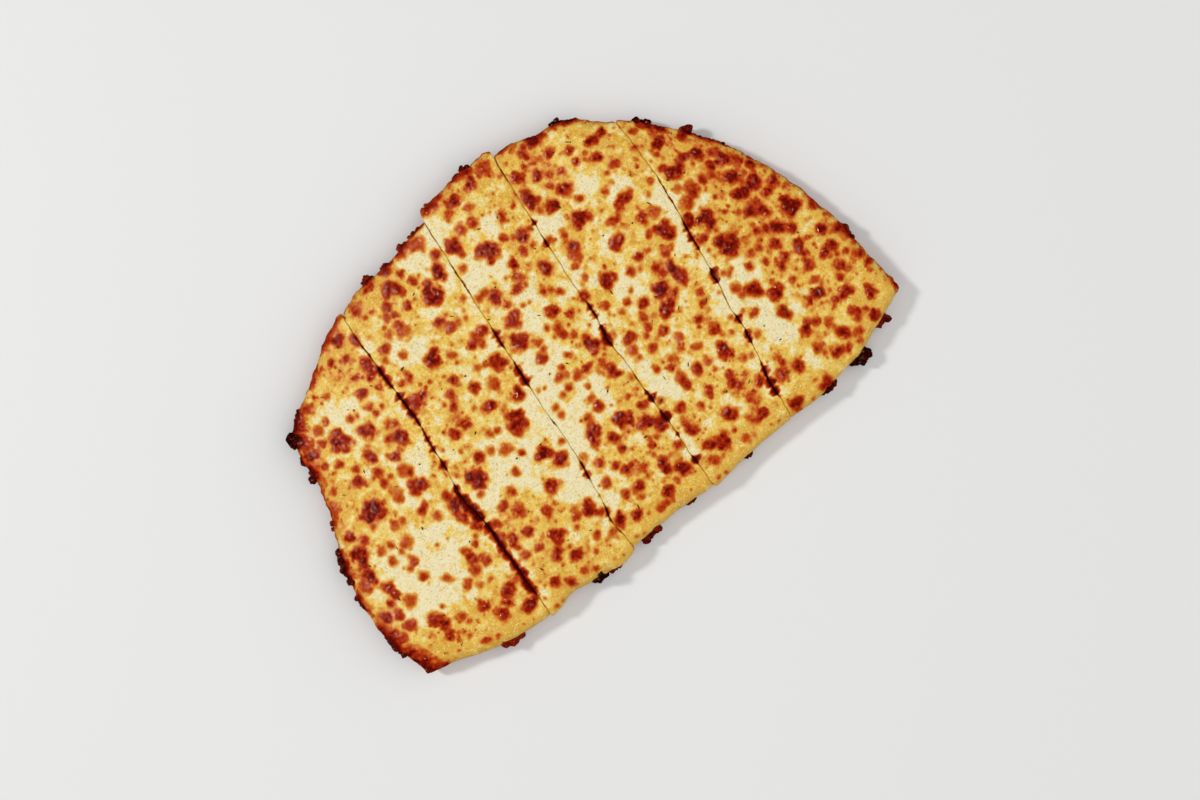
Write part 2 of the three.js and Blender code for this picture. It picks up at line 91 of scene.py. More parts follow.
section = {
    "edgeHeight": 9.0, "shoulderHeight": 15.0, "shoulderWidth": 5.5,
    "crownHeight": 20.5, "swellReach": 26.0,
    "cheeseThickness": 3.0, "layerGap": 0.3, "lipHeight": 4.8,
    "doughDrop": (5.0, 2.6),         # width and drop of the dough's own shoulder
    "cutRound": (0.9, 0.6),          # width and drop where cheese rounds over at a cut
    # slow waves of the top: height, radians for each millimetre of X and of Y, phase
    "waves": ((0.7, 1 / 11, 0.0, 1.0), (0.6, 0.0, 1 / 14, 0.4), (0.4, 1 / 9, 1 / 9, 2.0)),
    "cornerRound": 1.8, "cornerBlend": 6.0,
    "rimFade": (2.5, 6.5),           # how far in from the rim a cut's face takes over from it
}
section["wallInset"] = section["cheeseThickness"] + 2 * section["layerGap"]

# Main blisters of each strip: x, y, size along X and along Y.
blisters = (
    ((-120, 80, 15, 10), (-95, 75, 12, 9), (-110, 115, 9, 14), (-97, 111, 8, 8), (-87, 127, 6, 7),
     (-116, 96, 7, 5), (-86, 98, 6, 8), (-79, 154, 7, 6), (-97, 33, 6, 10), (-92, 9, 8, 7),
     (-103, 1, 7, 7), (-138, 66, 7, 13), (-137, 46, 6, 12), (-129, 22, 6, 8)),
    ((-50, 118, 12, 7), (-30, 142, 10, 14), (-21, 147, 7, 9), (-70, 59, 11, 11), (-38, 68, 12, 12),
     (-37, 48, 8, 9), (-46, 34, 10, 5), (-58, 14, 9, 8), (-38, 14, 7, 12), (-56, 1, 10, 5),
     (-44, 157, 12, 6), (-26, 95, 8, 8), (-29, 79, 8, 8), (-76, 24, 6, 9)),
    ((-7, 152, 10, 9), (4, 140, 10, 13), (21, 135, 7, 7), (-7, 122, 8, 7), (20, 117, 7, 8),
     (-8, 107, 9, 9), (-12, 98, 10, 8), (10, 98, 7, 7), (7, 170, 7, 6), (18, 171, 8, 6),
     (14, 75, 7, 11), (-12, 42, 11, 7), (4, 37, 11, 8), (3, 7, 6, 9)),
    ((48, 124, 10, 9), (36, 147, 8, 10), (41, 138, 9, 6), (38, 160, 7, 6), (40, 93, 12, 7),
     (75, 95, 9, 10), (72, 118, 13, 6), (56, 74, 8, 8), (52, 65, 10, 8), (68, 73, 8, 9),
     (61, 31, 8, 10), (55, 16, 7, 11), (43, 6, 8, 7), (33, -2, 7, 9), (56, -4, 10, 6)),
    ((95, 69, 12, 12), (94, 85, 9, 9), (99, 113, 10, 7), (91, 45, 8, 9), (99, 37, 9, 7),
     (95, 27, 7, 8), (98, 14, 9, 7), (83, 2, 7, 6), (111, 24, 11, 5), (134, 8, 9, 8),
     (111, 1, 8, 7), (131, 65, 8, 14), (134, 46, 7, 6), (121, 45, 6, 10), (124, 85, 8, 8)),
)
# Risen blisters strewn between them: tries on each strip, sizes, room for each millimetre of
# size, distance from the rim and the cuts, and how pale the cheese may be.
strewn = {"tries": 24, "sizes": (4.2, 7.2), "spacing": 0.62, "margin": 5.0, "plain": 1.0}
sequence = (0.7548776662466927, 0.5698402909980532, 0.6180339887498949, 0.7320508)

# Crisp crags of the rim: angle on the arc or X on the edge, length, how far they stand out,
# height above the base, and how dark they are.
crags = (
    {"arc": ((182, 15, 2.2, 8, 0.7), (171.8, 8, 2.2, 8, 0.6), (164.8, 19, 3.6, 8, 0.7),
             (157, 6, 1.8, 8, 0.5), (147.2, 6, 3.4, 8, 0.7), (144.4, 4, 2.4, 8, 0.6), (140.8, 4, 5.8, 9, 0.9),
             (141.2, 7, 0.6, 13.6, 0.95), (140.2, 8, 1.6, 8, 0.9), (137, 9, 1.2, 9, 0.6)),
     "edge": ((-107.5, 10, 4.6, 6, 0.38),)},
    {"arc": ((109.7, 5, 3.6, 8, 0.5), (105.5, 4, 2.2, 8, 0.5), (100.3, 6, 2.6, 8, 0.45),
             (97, 8, 1.3, 8, 0.7)),
     "edge": ((-56, 7, 1.0, 12.8, 1.0), (-56, 7, 2.4, 9.8, 1.0), (-55, 7, 3.4, 6, 0.9),
              (-46.5, 7, 1.8, 7, 0.45))},
    {"arc": ((92, 4, 1.8, 8, 0.3), (84, 3.5, 2.2, 8, 0.5), (81.9, 4.5, 2.6, 9, 0.8)),
     "edge": ((-23, 9, 4.6, 6, 0.6), (2.5, 5, 2.2, 6, 0.7))},
    {"arc": ((63.4, 7, 3.0, 8, 0.8), (61, 7, 1.6, 8, 0.7)), "edge": ((38.5, 4, 2.6, 6, 0.8),)},
    {"arc": ((48.2, 8, 3.6, 8, 0.85), (40.2, 5, 4.2, 9, 0.6), (35, 14, 1.0, 8, 0.7), (4, 9, 2.6, 7, 0.5)),
     "edge": ((89, 9, 2.4, 8, 0.7), (111.5, 10, 6.4, 5, 0.9), (131, 8, 4.8, 6, 0.6))},
)


def mix(a, b, t):
    # straight blend from a to b
    return a + (b - a) * t


def smooth(low, high, value):
    # cubic ease: 3t^2 - 2t^3 of the clamped share t between low and high
    t = np.clip((value - low) / (high - low), 0.0, 1.0)
    return t * t * (3.0 - 2.0 * t)


def hump(distance, reach):
    # bell: exp(-(distance / reach)^2)
    return np.exp(-(distance / reach) ** 2)


def spreadShare(k, which):
    # shares from 0 to 1 that spread evenly: the part of k * sequence[which] after the point
    return (k * sequence[which]) % 1.0


# Plan: the arc, the straight edge and the cuts

def arcRadiusAt(angle, strip):
    # circle radius, plus the strip's step, plus one hump for each bulge
    radius = halfMoon["radius"] + halfMoon["headStep"][strip]
    for at, out, spread in halfMoon["bulges"]:
        radius = radius + out * hump(angle - at, spread)
    return radius


def arcAngleAt(x, y):
    # degrees round the arc's middle, from -90 to 270
    angle = np.degrees(np.arctan2(y - halfMoon["middle"][1], x - halfMoon["middle"][0]))
    return np.where(angle < -90, angle + 360, angle)


def arcDistanceAt(x, y, strip):
    # how far inside the arc a place lies
    middleX, middleY = halfMoon["middle"]
    return arcRadiusAt(arcAngleAt(x, y), strip) - np.hypot(x - middleX, y - middleY)


def arcPointAt(angle, strip):
    # place on the arc: the middle plus the radius along the angle
    radius = arcRadiusAt(angle, strip)
    turn = np.radians(angle)
    return (halfMoon["middle"][0] + radius * np.cos(turn), halfMoon["middle"][1] + radius * np.sin(turn))


def footLineAt(x, strip):
    # straight, then rising by the 1.5th power of the way into the bend, plus shallow humps
    start, end, rise = halfMoon["bend"]
    bend = np.maximum(0.0, (np.abs(x) - start) / (end - start))
    waves = sum(offset * hump(x - at, reach) for at, offset, reach in halfMoon["edgeWaves"])
    return halfMoon["edgeY"] - halfMoon["footStep"][strip] + rise * bend ** 1.5 + waves


def cutLineAt(cut, y):
    # parabola through the cut's three levels, with two sine waves and a hump for each sway
    levels = halfMoon["cutLevels"]
    t = (y - levels[1]) / (levels[2] - levels[1])
    low, middle, high = cut["x"]
    waves = zip(halfMoon["cutWaver"], (low, high))
    waver = sum(size * np.sin(y * pace + phase) for (size, pace), phase in waves)
    sway = sum(offset * hump(y - at, reach) for at, offset, reach in cut["sway"])
    return middle + (high - low) / 2 * t + ((high + low) / 2 - middle) * t * t + waver + sway


def cutOpeningAt(cut, y, layer):
    # half width: thin, plus a hump at each gape of the dough; in the cheese a hair's width,
    # plus half the width of each open span, eased at both ends and stirred by two sine waves
    if layer == "dough":
        gapes = sum(extra * hump(y - at, reach) for at, extra, reach in cut["gapes"])
        return halfMoon["cutHalfWidth"] + gapes
    opening = halfMoon["cutClosed"] + 0.0 * y
    for start, end, width in cut["open"]:
        ease = min(halfMoon["cutEase"], (end - start) / 2)
        span = smooth(start - 0.5, start + ease, y) * smooth(end + 0.5, end - ease, y)
        stirs = zip(halfMoon["cutStir"], (start, end))
        stir = 1 + sum(size * np.sin(pace * y + phase) for (size, pace), phase in stirs)
        opening = np.maximum(opening, width / 2 * span * stir)
    return opening


def openingBeside(x, y, strip, layer):
    # half width of the opening of the cut that a place of the strip lies beside, or 0
    opening = np.zeros_like(x)
    for cut in cuts[max(0, strip - 1):strip + 1]:
        beside = np.abs(x - cutLineAt(cut, y)) < halfMoon["cutSide"]
        opening = np.where(beside, cutOpeningAt(cut, y, layer), opening)
    return opening


def rimDistanceAt(x, y, strip):
    # least distance to arc or edge, less a parabola that rounds the corner between them
    toArc = arcDistanceAt(x, y, strip)
    toEdge = y - footLineAt(x, strip)
    reach = section["cornerBlend"]
    blend = np.maximum(0.0, reach - np.abs(toArc - toEdge)) / reach
    return np.maximum(0.0, np.minimum(toArc, toEdge) - blend * blend * reach / 4)


def cutFacesAt(y, strip, layer):
    # X of the cut faces on a strip's left and right, far away where it has none
    left = np.full_like(y, -1e6)
    right = np.full_like(y, 1e6)
    if strip > 0:
        left = cutLineAt(cuts[strip - 1], y) + cutOpeningAt(cuts[strip - 1], y, layer)
    if strip < stripCount - 1:
        right = cutLineAt(cuts[strip], y) - cutOpeningAt(cuts[strip], y, layer)
    return left, right


def roundedDrop(distance, width, drop):
    # quarter ellipse: drop * (1 - sqrt(1 - t^2)), t falling from 1 at the edge to 0
    t = np.clip(1.0 - distance / width, 0.0, 1.0)
    return drop * (1.0 - np.sqrt(1.0 - t * t))


def crownAt(x, y, rimAway):
    # shoulder height, plus an exponential swell, plus slow sine waves
    rise = section["crownHeight"] - section["shoulderHeight"]
    swell = rise * (1 - np.exp(-rimAway / section["swellReach"]))
    rolling = sum(size * np.sin(x * kx + y * ky + phase) for size, kx, ky, phase in section["waves"])
    return section["shoulderHeight"] + swell + rolling * np.minimum(1.0, rimAway / section["shoulderWidth"])


def cheeseTopAt(x, y, strip):
    # crown, less the rounded rim, less the small rounding at the cuts
    rimAway = rimDistanceAt(x, y, strip)
    left, right = cutFacesAt(y, strip, "cheese")
    cutAway = np.minimum(x - left, right - x)
    drop = section["shoulderHeight"] - section["edgeHeight"]
    rimDrop = roundedDrop(rimAway, section["shoulderWidth"], drop)
    return crownAt(x, y, rimAway) - rimDrop - roundedDrop(cutAway, *section["cutRound"])


def doughTopAt(x, y, strip):
    # crown, less the cheese and the gap under it, less the dough's own rounded rim
    rimAway = rimDistanceAt(x, y, strip)
    below = section["cheeseThickness"] + section["layerGap"]
    return crownAt(x, y, rimAway) - below - roundedDrop(rimAway - section["wallInset"], *section["doughDrop"])


# Plan of one strip: a Coons patch between its four edges

def stripEnds(strip, layer):
    # X of the two corners on the straight edge and angles of the two on the arc: where a cut
    # meets the rim, by going back and forth, and where edge and arc meet, by halving
    ends = {}
    for side, name in ((-1, "left"), (1, "right")):
        cutIndex = strip - 1 if side < 0 else strip
        if 0 <= cutIndex < len(cuts):
            cut = cuts[cutIndex]
            face = lambda level: cutLineAt(cut, level) - side * cutOpeningAt(cut, level, layer)
            low, high = halfMoon["edgeY"], halfMoon["cutLevels"][2]
            for _ in range(20):
                low = footLineAt(face(low), strip)
                x = face(high)
                reach = arcRadiusAt(arcAngleAt(x, high), strip)
                high = halfMoon["middle"][1] + np.sqrt(reach ** 2 - (x - halfMoon["middle"][0]) ** 2)
            ends[name] = {"cut": cut, "side": -side, "low": float(low), "high": float(high),
                          "footX": float(face(low)), "headAngle": float(arcAngleAt(face(high), high))}
        else:
            inside, outside = halfMoon["cornerSearch"][0 if side < 0 else 1]
            for _ in range(40):
                middle = (inside + outside) / 2
                x, y = arcPointAt(middle, strip)
                inside, outside = (middle, outside) if y > footLineAt(x, strip) else (inside, middle)
            ends[name] = {"cut": None, "corner": inside, "footX": float(arcPointAt(inside, strip)[0]),
                          "headAngle": halfMoon["turnAngle"][0 if side < 0 else 1]}
    return ends


def sideCurve(end, strip, layer, t):
    # a cut's face by level, or the arc by angle
    if end["cut"] is None:
        return arcPointAt(mix(end["corner"], end["headAngle"], t), strip)
    y = mix(end["low"], end["high"], t)
    return cutLineAt(end["cut"], y) + end["side"] * cutOpeningAt(end["cut"], y, layer), y


def planAt(strip, layer, u, v):
    # both pairs of edges blended, less the bilinear blend of the corners; the square's
    # corners are bent to arcs
    ends = stripEnds(strip, layer)
    footX = lambda t: mix(ends["left"]["footX"], ends["right"]["footX"], t)
    foot = lambda t: (footX(t), footLineAt(footX(t), strip))
    head = lambda t: arcPointAt(mix(ends["left"]["headAngle"], ends["right"]["headAngle"], t), strip)
    left = lambda t: sideCurve(ends["left"], strip, layer, t)
    right = lambda t: sideCurve(ends["right"], strip, layer, t)
    gap = lambda a, b: np.hypot(a[0] - b[0], a[1] - b[1])

    width = gap(left(v), right(v))
    length = gap(foot(u), head(u))
    x, y = u * width, v * length
    size = section["cornerRound"]
    p = np.clip(1 - np.minimum(x, width - x) / size, 0.0, None)
    q = np.clip(1 - np.minimum(y, length - y) / size, 0.0, None)
    inCorner = (p > 0) & (q > 0)
    moveX = np.where(inCorner, size * p * (1 - np.sqrt(np.maximum(0.0, 1 - q * q / 2))), 0.0)
    moveY = np.where(inCorner, size * q * (1 - np.sqrt(np.maximum(0.0, 1 - p * p / 2))), 0.0)
    u = (x + np.where(x < width - x, moveX, -moveX)) / width
    v = (y + np.where(y < length - y, moveY, -moveY)) / length

    corners = [foot(0.0), foot(1.0), head(0.0), head(1.0)]
    leftV, rightV, footU, headU = left(v), right(v), foot(u), head(u)
    return tuple(
        mix(leftV[k], rightV[k], u) + mix(footU[k], headU[k], v)
        - mix(mix(corners[0][k], corners[1][k], u), mix(corners[2][k], corners[3][k], u), v)
        for k in (0, 1))


def edgeSteps(length, step, first=0.05, growth=1.45):
    # shares of a length: steps grow from first to step at both ends, and are even between
    sizes = []
    while first < step:
        sizes.append(first)
        first *= growth
    band = np.concatenate(([0.0], np.cumsum(sizes)))
    count = int(round((length - 2 * band[-1]) / step))
    middle = np.linspace(band[-1], length - band[-1], count + 1)[1:-1]
    return np.concatenate((band, middle, length - band[::-1])) / length


# Noise

def smoothNoise(x, y, cell, seed):
    # random heights on a lattice, blended by the cubic ease; 0 to 1
    table = np.random.default_rng(seed).random((128, 128))
    px, py = x / cell, y / cell
    ix, iy = np.floor(px).astype(int), np.floor(py).astype(int)
    fx, fy = px - ix, py - iy
    fx, fy = fx * fx * (3 - 2 * fx), fy * fy * (3 - 2 * fy)
    at = lambda i, j: table[(ix + i) % 128, (iy + j) % 128]
    return mix(mix(at(0, 0), at(1, 0), fx), mix(at(0, 1), at(1, 1), fx), fy)


def layeredNoise(x, y, cell, seed, layers=3):
    # sum of noises, each half as coarse and 0.55 as strong; about -1 to 1
    total, strength, whole = 0.0, 1.0, 0.0
    for k in range(layers):
        total = total + strength * (smoothNoise(x + 7.3 * k, y - 4.1 * k, cell, seed + k) * 2 - 1)
        whole += strength
        cell, strength = cell / 2, strength * 0.55
    return total / whole


def pointsNear(x, y, cell, seed, draws):
    # one jittered point in each lattice cell: for the nine cells round a place, the distance
    # to the point in cells, and the point's further draws
    table = np.random.default_rng(seed).random((draws, 64, 64))
    px, py = x / cell, y / cell
    ix, iy = np.floor(px).astype(int), np.floor(py).astype(int)
    for i in (-1, 0, 1):
        for j in (-1, 0, 1):
            jitterX, jitterY, *others = table[:, (ix + i) % 64, (iy + j) % 64]
            yield np.hypot(ix + i + jitterX - px, iy + j + jitterY - py), others


def cellNoise(x, y, cell, seed):
    # distance to the nearest point, in cells
    nearest = np.full_like(x, 9.0)
    for away, _ in pointsNear(x, y, cell, seed, 2):
        nearest = np.minimum(nearest, away)
    return nearest


def freckleNoise(x, y, cell, seed):
    # a soft spot at each point: strength * exp(-(away / reach)^3), strength and reach at
    # random; the strongest counts
    most = np.zeros_like(x)
    for away, (size, strength) in pointsNear(x, y, cell, seed, 4):
        most = np.maximum(most, strength * np.exp(-(away / mix(0.14, 0.46, size)) ** 3))
    return most


# Browning: blotches are clusters of round blisters, small spots are single ones

# Smaller blotches of each strip: x, y, size along X and along Y.
blotches = (
    ((-103, 100, 6, 4), (-105, 92, 4, 6), (-94, 92, 6, 5), (-90, 101, 6, 5), (-106, 86, 5, 5),
     (-124, 119, 6, 5), (-117, 120, 4, 4), (-123, 111, 4, 4), (-90, 148, 4, 4), (-83, 145, 4, 4),
     (-85, 135, 4, 4), (-79, 130, 4, 4), (-88, 119, 4, 4), (-76, 133, 4, 11), (-73, 149, 4, 8),
     (-141, 57, 8, 9), (-136, 76, 6, 5), (-131, 72, 5, 5), (-147, 36, 6, 6), (-141, 33, 5, 5),
     (-140, 26, 4, 7), (-127, 15, 5, 5), (-129, 9, 4, 4), (-121, 56, 3, 4), (-127, 55, 4, 4),
     (-119, 51, 3, 3), (-123, 46, 3, 5), (-120, 40, 4, 4), (-91, 36, 6, 3), (-92, 27, 5, 5),
     (-106, 24, 6, 4), (-99, 26, 5, 4), (-107, 10, 7, 3), (-90, -3, 10, 7), (-100, 65, 6, 6),
     (-86.5, 63, 4, 5), (-87, 49, 4, 6), (-87, 56, 7, 9), (-84, 43, 4, 7), (-112, 100, 4, 4),
     (-99, 121, 3, 4)),
    ((-34, 41, 8, 5), (-69, 41, 6, 6), (-62, 44, 6, 4), (-77, 37, 4, 6), (-55, 26, 5, 6),
     (-67, 25, 6, 4), (-45, 15, 5, 4), (-73, -3, 9, 3), (-67, -8, 5, 4), (-51, 151, 5, 5),
     (-52, 164, 7, 5), (-40, 165, 8, 3), (-53, 141, 5, 4), (-43, 146, 5, 6), (-65, 136, 5, 5),
     (-36, 129, 4, 6), (-33, 124, 6, 4), (-64, 108, 5, 4), (-70, 106, 4, 6), (-48, 103, 4, 6),
     (-54, 99, 5, 4), (-57, 93, 4, 5), (-43, 94, 4, 6), (-23, 113, 4, 7), (-31, 111, 6, 3),
     (-65, 84, 6, 6), (-57, 83, 7, 5), (-63, 68, 5, 6), (-17, 155, 5, 5), (-33, 153, 4, 5),
     (-64, 160, 5, 5), (-36, 160, 4, 4), (-60, 128, 4, 4), (-42, 82, 4, 5), (-46, 56, 3, 4),
     (-62, 8, 4, 4), (-68, 15, 4, 4), (-48, -4, 4, 3), (-36, -2, 4, 5), (-69, 118, 3, 4)),
    ((-14, 125, 4, 4), (3, 117, 6, 5), (-5, 115, 5, 4), (9, 127, 5, 6), (17, 130, 4, 4),
     (1, 167, 6, 3), (-5, 175, 8, 4), (7, 156, 4, 5), (20, 149, 4, 5), (14, 141, 4, 4),
     (-9, 84, 5, 5), (15, 92, 4, 5), (7, 86, 3, 4), (13, 57, 7, 8), (6, 67, 6, 5),
     (-16, 38, 4, 8), (-7, 33, 6, 4), (-3, 49, 6, 5), (9, 30, 5, 10), (14, 36, 6, 6),
     (14, 25, 7, 8), (-9, 17, 8, 4), (-24, 18, 4, 6), (-7, 26, 5, 4), (5, 18, 5, 4),
     (-11, 7, 6, 6), (10, 0, 8, 7), (-3, -4, 5, 6), (-11, -8, 4, 4), (-22, -3, 6, 6),
     (-30, 0, 6, 6), (-8, 65, 4, 4), (-19, 62, 3, 3), (-20, 28, 5, 4), (-15, 22, 4, 4),
     (-20, 8, 4, 5), (18, 103, 3, 4), (-1, 60, 3, 3), (-5, 75, 4, 3), (12, 108, 3, 4)),
    ((37, 117, 6, 6), (54, 104, 9, 5), (51, 142, 7, 5), (55, 168, 8, 5), (47, 166, 5, 6),
     (46, 155, 5, 6), (56, 158, 6, 5), (65, 153, 5, 4), (75, 150, 8, 4), (82, 150, 5, 4),
     (73, 142, 6, 5), (64, 147, 4, 4), (47, 146, 4, 4), (77, 134, 4, 5), (59, 113, 5, 4),
     (31, 108, 4, 4), (31, 101, 5, 3), (30, 126, 3, 6), (31, 84, 5, 4), (58, 92, 6, 4),
     (50, 89, 5, 4), (71, 106, 5, 5), (25, 94, 3, 8), (67, 79, 7, 4), (46, 73, 6, 5),
     (30, 64, 7, 6), (40, 63, 4, 4), (44, 57, 5, 5), (61, 51, 5, 4), (46, 46, 4, 4),
     (64, 42, 7, 4), (52, 41, 5, 3), (30, 45, 4, 3), (37, 31, 6, 6), (46, 33, 6, 5),
     (27, 24, 5, 5), (43, 20, 6, 6), (35, 18, 4, 4), (25, 11, 6, 6), (64, 9, 6, 6),
     (26, 1, 6, 5), (23, -7, 5, 5), (60, 68, 4, 5), (40, 79, 4, 4),
     (35, 54, 4, 4), (54, 132, 4, 4), (66, 127, 3, 4), (70, 60, 4, 4), (36, 41, 4, 4)),
    ((86, 79, 6, 6), (88, 91, 5, 8), (106, 115, 6, 5), (94, 118, 4, 4), (104, 14, 4, 5),
     (79, 9, 4, 4), (125, 15, 7, 6), (118, 16, 4, 4), (122, 6, 5, 5), (128, -2, 7, 5),
     (104, -5, 7, 5), (117, -3, 5, 4), (89, -12.5, 9, 6), (72, -10.5, 9, 7), (134, 37, 7, 6), (128, 36, 6, 5),
     (131, 27, 6, 5), (141, 26, 4, 6), (142, 42, 4, 7), (119, 61, 8, 6), (119, 70, 5, 7),
     (126, 77, 5, 5), (132, 79, 4, 6), (116, 85, 7, 6), (118, 94, 8, 5), (120, 104, 5, 7),
     (112, 113, 7, 6), (113, 103, 6, 5), (106, 102, 5, 4), (112, 125, 5, 6), (102, 129, 7, 7),
     (106, 136, 5, 7), (95, 141, 4, 4), (90, 134, 5, 3), (97, 98, 4, 4), (86, 58, 3, 3),
     (96, 55, 4, 4), (104, 51, 3, 3), (108, 36, 4, 3), (119, 36, 5, 5), (124, 56, 5, 5),
     (113, 75, 4, 5), (128, 92, 5, 5), (84, 36, 4, 4), (139, 58, 4, 5), (112, 48, 4, 4)),
)
# Pale smooth cheese and golden cheese: x, y, reach, all strips together.
creamAreas = (
    (-118, 42, 22), (-103, 124, 11), (-92, 84, 9), (-50, 56, 15), (-55, 130, 9), (-36, 28, 9), (-30, 70, 8),
    (-73, 50, 8), (-30, 158, 8), (0, 106, 11), (-12, 76, 13), (3, 133, 7), (-10, 165, 8), (14, 147, 6),
    (45, 84, 10), (33, 132, 8), (58, 135, 8), (72, 123, 7), (85, 100, 9), (88, 52, 12), (90, 26, 11),
    (95, 98, 8), (-4, 56, 9), (28, 35, 7), (-100, 76, 8),
    (79, 84, 5), (80, 96, 5), (84, 108, 5), (84, 56, 6), (85, 44, 6), (26, 48, 6), (27, 62, 6), (30, 100, 5),
    (31, 112, 5), (32, 127, 6), (-25, 45, 8), (-25, 60, 8), (-24, 70, 6), (-23, 104, 4), (-11, 134, 5),
    (-8, 162, 6),
)
goldAreas = (
    (-104, 52, 9), (-133, 98, 13), (-90, 147, 13), (28, 166, 10), (84, 128, 11), (106, 47, 9), (120, 75, 20),
    (-128, 8, 14), (-60, 88, 8), (128, 30, 14), (0, -4, 12), (60, -4, 12), (-100, -2, 12), (-55, 165, 10),
    (45, 160, 12), (104, 125, 12), (-76, 8, 8), (20, 178, 9),
)

# Dark crust along the arc: from angle, to angle, width in millimetres and heat.
rimCrust = (
    (184, 196, 8.0, 0.95), (177.5, 184, 5.2, 0.90), (169.5, 174, 1.9, 0.85), (161, 168.5, 1.8, 0.95),
    (155, 158, 1.8, 0.75), (148, 155, 0.8, 0.45), (145, 148.5, 4.2, 0.9), (143, 145, 2.0, 0.9),
    (139.3, 142.6, 7.0, 1.05), (134.8, 139.3, 5.6, 0.88),
    (127.5, 132, 2.4, 0.60), (117.5, 125, 3.0, 0.56), (108.5, 111.5, 2.0, 0.66), (104, 106.5, 1.6, 0.7),
    (98.5, 102, 2.6, 0.62), (94, 98.5, 1.0, 0.75), (88, 93.5, 3.4, 0.48), (80, 86, 3.4, 0.60),
    (73, 76, 1.2, 0.8), (66, 71, 4.6, 0.56), (59.5, 65, 1.4, 0.95), (43, 50, 3.0, 0.66),
    (32, 41, 1.0, 0.85), (10, 14, 1.0, 0.5), (2, 6, 2.4, 0.75), (-11, -7, 2.0, 0.75),
)

cheeseLook = {
    "step": 0.5,                     # spacing of the surface grid
    "rings": 12,                     # loops down the outer side
    "tuck": ((0.4, 0.8), (1.3, 2.9)),   # how far the last two loops turn under: at a cut, on the rim
    "areaEach": 20.0,                # of a blotch, for each of its round blisters
    "stir": (1.8, 0.55),             # how far coarse and fine noise pull a blister's outline
    "dome": (0.22, 0.17),            # height of a blister, and more for each millimetre of radius
    "falloff": (1.7, 2.9),           # how sharply the smallest blister ends, and more for the largest
    "halo": (0.32, 1.8),             # heat and reach of the toasted edge round a blister
    "glow": (0.30, 2.6),             # strength and extra reach of the golden ring round a blister
    "hottest": 0.92,                 # heat that crowded blisters tend to
    "grain": 0.50,                   # height of the bubbles on a blister
    "ripple": 0.42,                  # height of the melted surface's unevenness
    "palePuff": 0.3,                 # height of the pale patches
    "rimLumps": (0.9, 1.1),          # height of lumps along the arc, and of those on dark crust
    "rimWander": (1.1, 0.5, 4.0),    # how far noise moves the arc and the straight edge, and its reach
    "lipWaver": ((1.3, 9.0, 61), (0.7, 2.6, 67, 2)),      # of the lip's height: size, then the noise
    "leastFall": 0.8,                # from the top's border down to the dough in a cut
    "hang": (0.15, 0.8, 0.5),        # of the outer side: bulge, lean inwards, roughness
    "ledge": (0.45, 0.70),           # shares of the fall between which it steps into an open cut
    "knobSize": (0.73, 1.24, 0.94),  # of a blotch's blisters, smallest and largest, and of a lone one
    "knobHeat": (0.74, 1.19),        # strength of a blotch's blisters, weakest and strongest
    "spots": {"tries": 130, "sizes": (1.4, 4.4), "spacing": 0.42, "margin": 1.2, "plain": 0.45},
}
goldenLook = {
    "plain": 0.42,                   # goldness of plain cheese
    "round": 0.50,                   # more round the blisters
    "golden": 0.32, "pale": 0.75,    # more on golden patches, less on pale ones
    "stretched": 0.7,                # less where the knife stretched the cheese
    "rim": (0.30, 14.0), "edge": (0.30, 11.0),            # strength and reach
    "mottle": ((0.55, 9.0, 31, 3), (0.75, 3.2, 43, 2)),   # strength, size, seed and layers
}
toastLook = {
    "round": 0.13, "veins": 0.10, "specks": 0.14,         # faint warmth between the blisters
    "rim": (0.10, 5.0),              # strength and reach
    "right": (0.12, (122, 75), 40.0),                     # the browner right side: strength, place, reach
    "line": (0.5, 0.9),              # heat and reach of the thin line all along the arc
    "seamWidth": (0.35, 1.5), "seamHeat": (0.25, 0.85),   # of a shut cut, and more where it is open
    "smears": 0.44,
    "freckles": ((0.60, 4.6, 91), (0.36, 2.4, 93)),       # strength, size and seed
    "clear": (2.0, 14.0),            # smears and freckles fade in from the straight edge
}


def areaAt(x, y, areas):
    # greatest of soft round patches, their outlines stirred by noise
    stir = 1 + 0.55 * layeredNoise(x, y, 12.0, 29, 3)
    most = np.zeros_like(x)
    for ax, ay, reach in areas:
        most = np.maximum(most, 1 - smooth(0.65, 1.35, np.hypot(x - ax, y - ay) / reach * stir))
    return most


def scatter(strip, placed, rule, start):
    # spread shares over the strip's square; a try is kept where it has room and, on smooth
    # pale cheese, only where the paleness times its own share stays below the rule's
    ks = np.arange(1, rule["tries"] + 1) + start
    xs, ys = planAt(strip, "dough", spreadShare(ks, 0), spreadShare(ks, 1))
    sizes = mix(*rule["sizes"], spreadShare(ks, 2) ** 2)
    left, right = cutFacesAt(ys, strip, "dough")
    room = np.minimum(rimDistanceAt(xs, ys, strip), np.minimum(xs - left, right - xs))
    kept = areaAt(xs, ys, creamAreas) * spreadShare(ks, 3) < rule["plain"]
    found = []
    for x, y, size, free in zip(xs[kept], ys[kept], sizes[kept], room[kept]):
        clear = all(np.hypot(x - px, y - py) > (size + other) * rule["spacing"] for px, py, other in placed)
        if free > rule["margin"] and clear:
            placed.append((x, y, size))
            found.append((x, y, size))
    return found


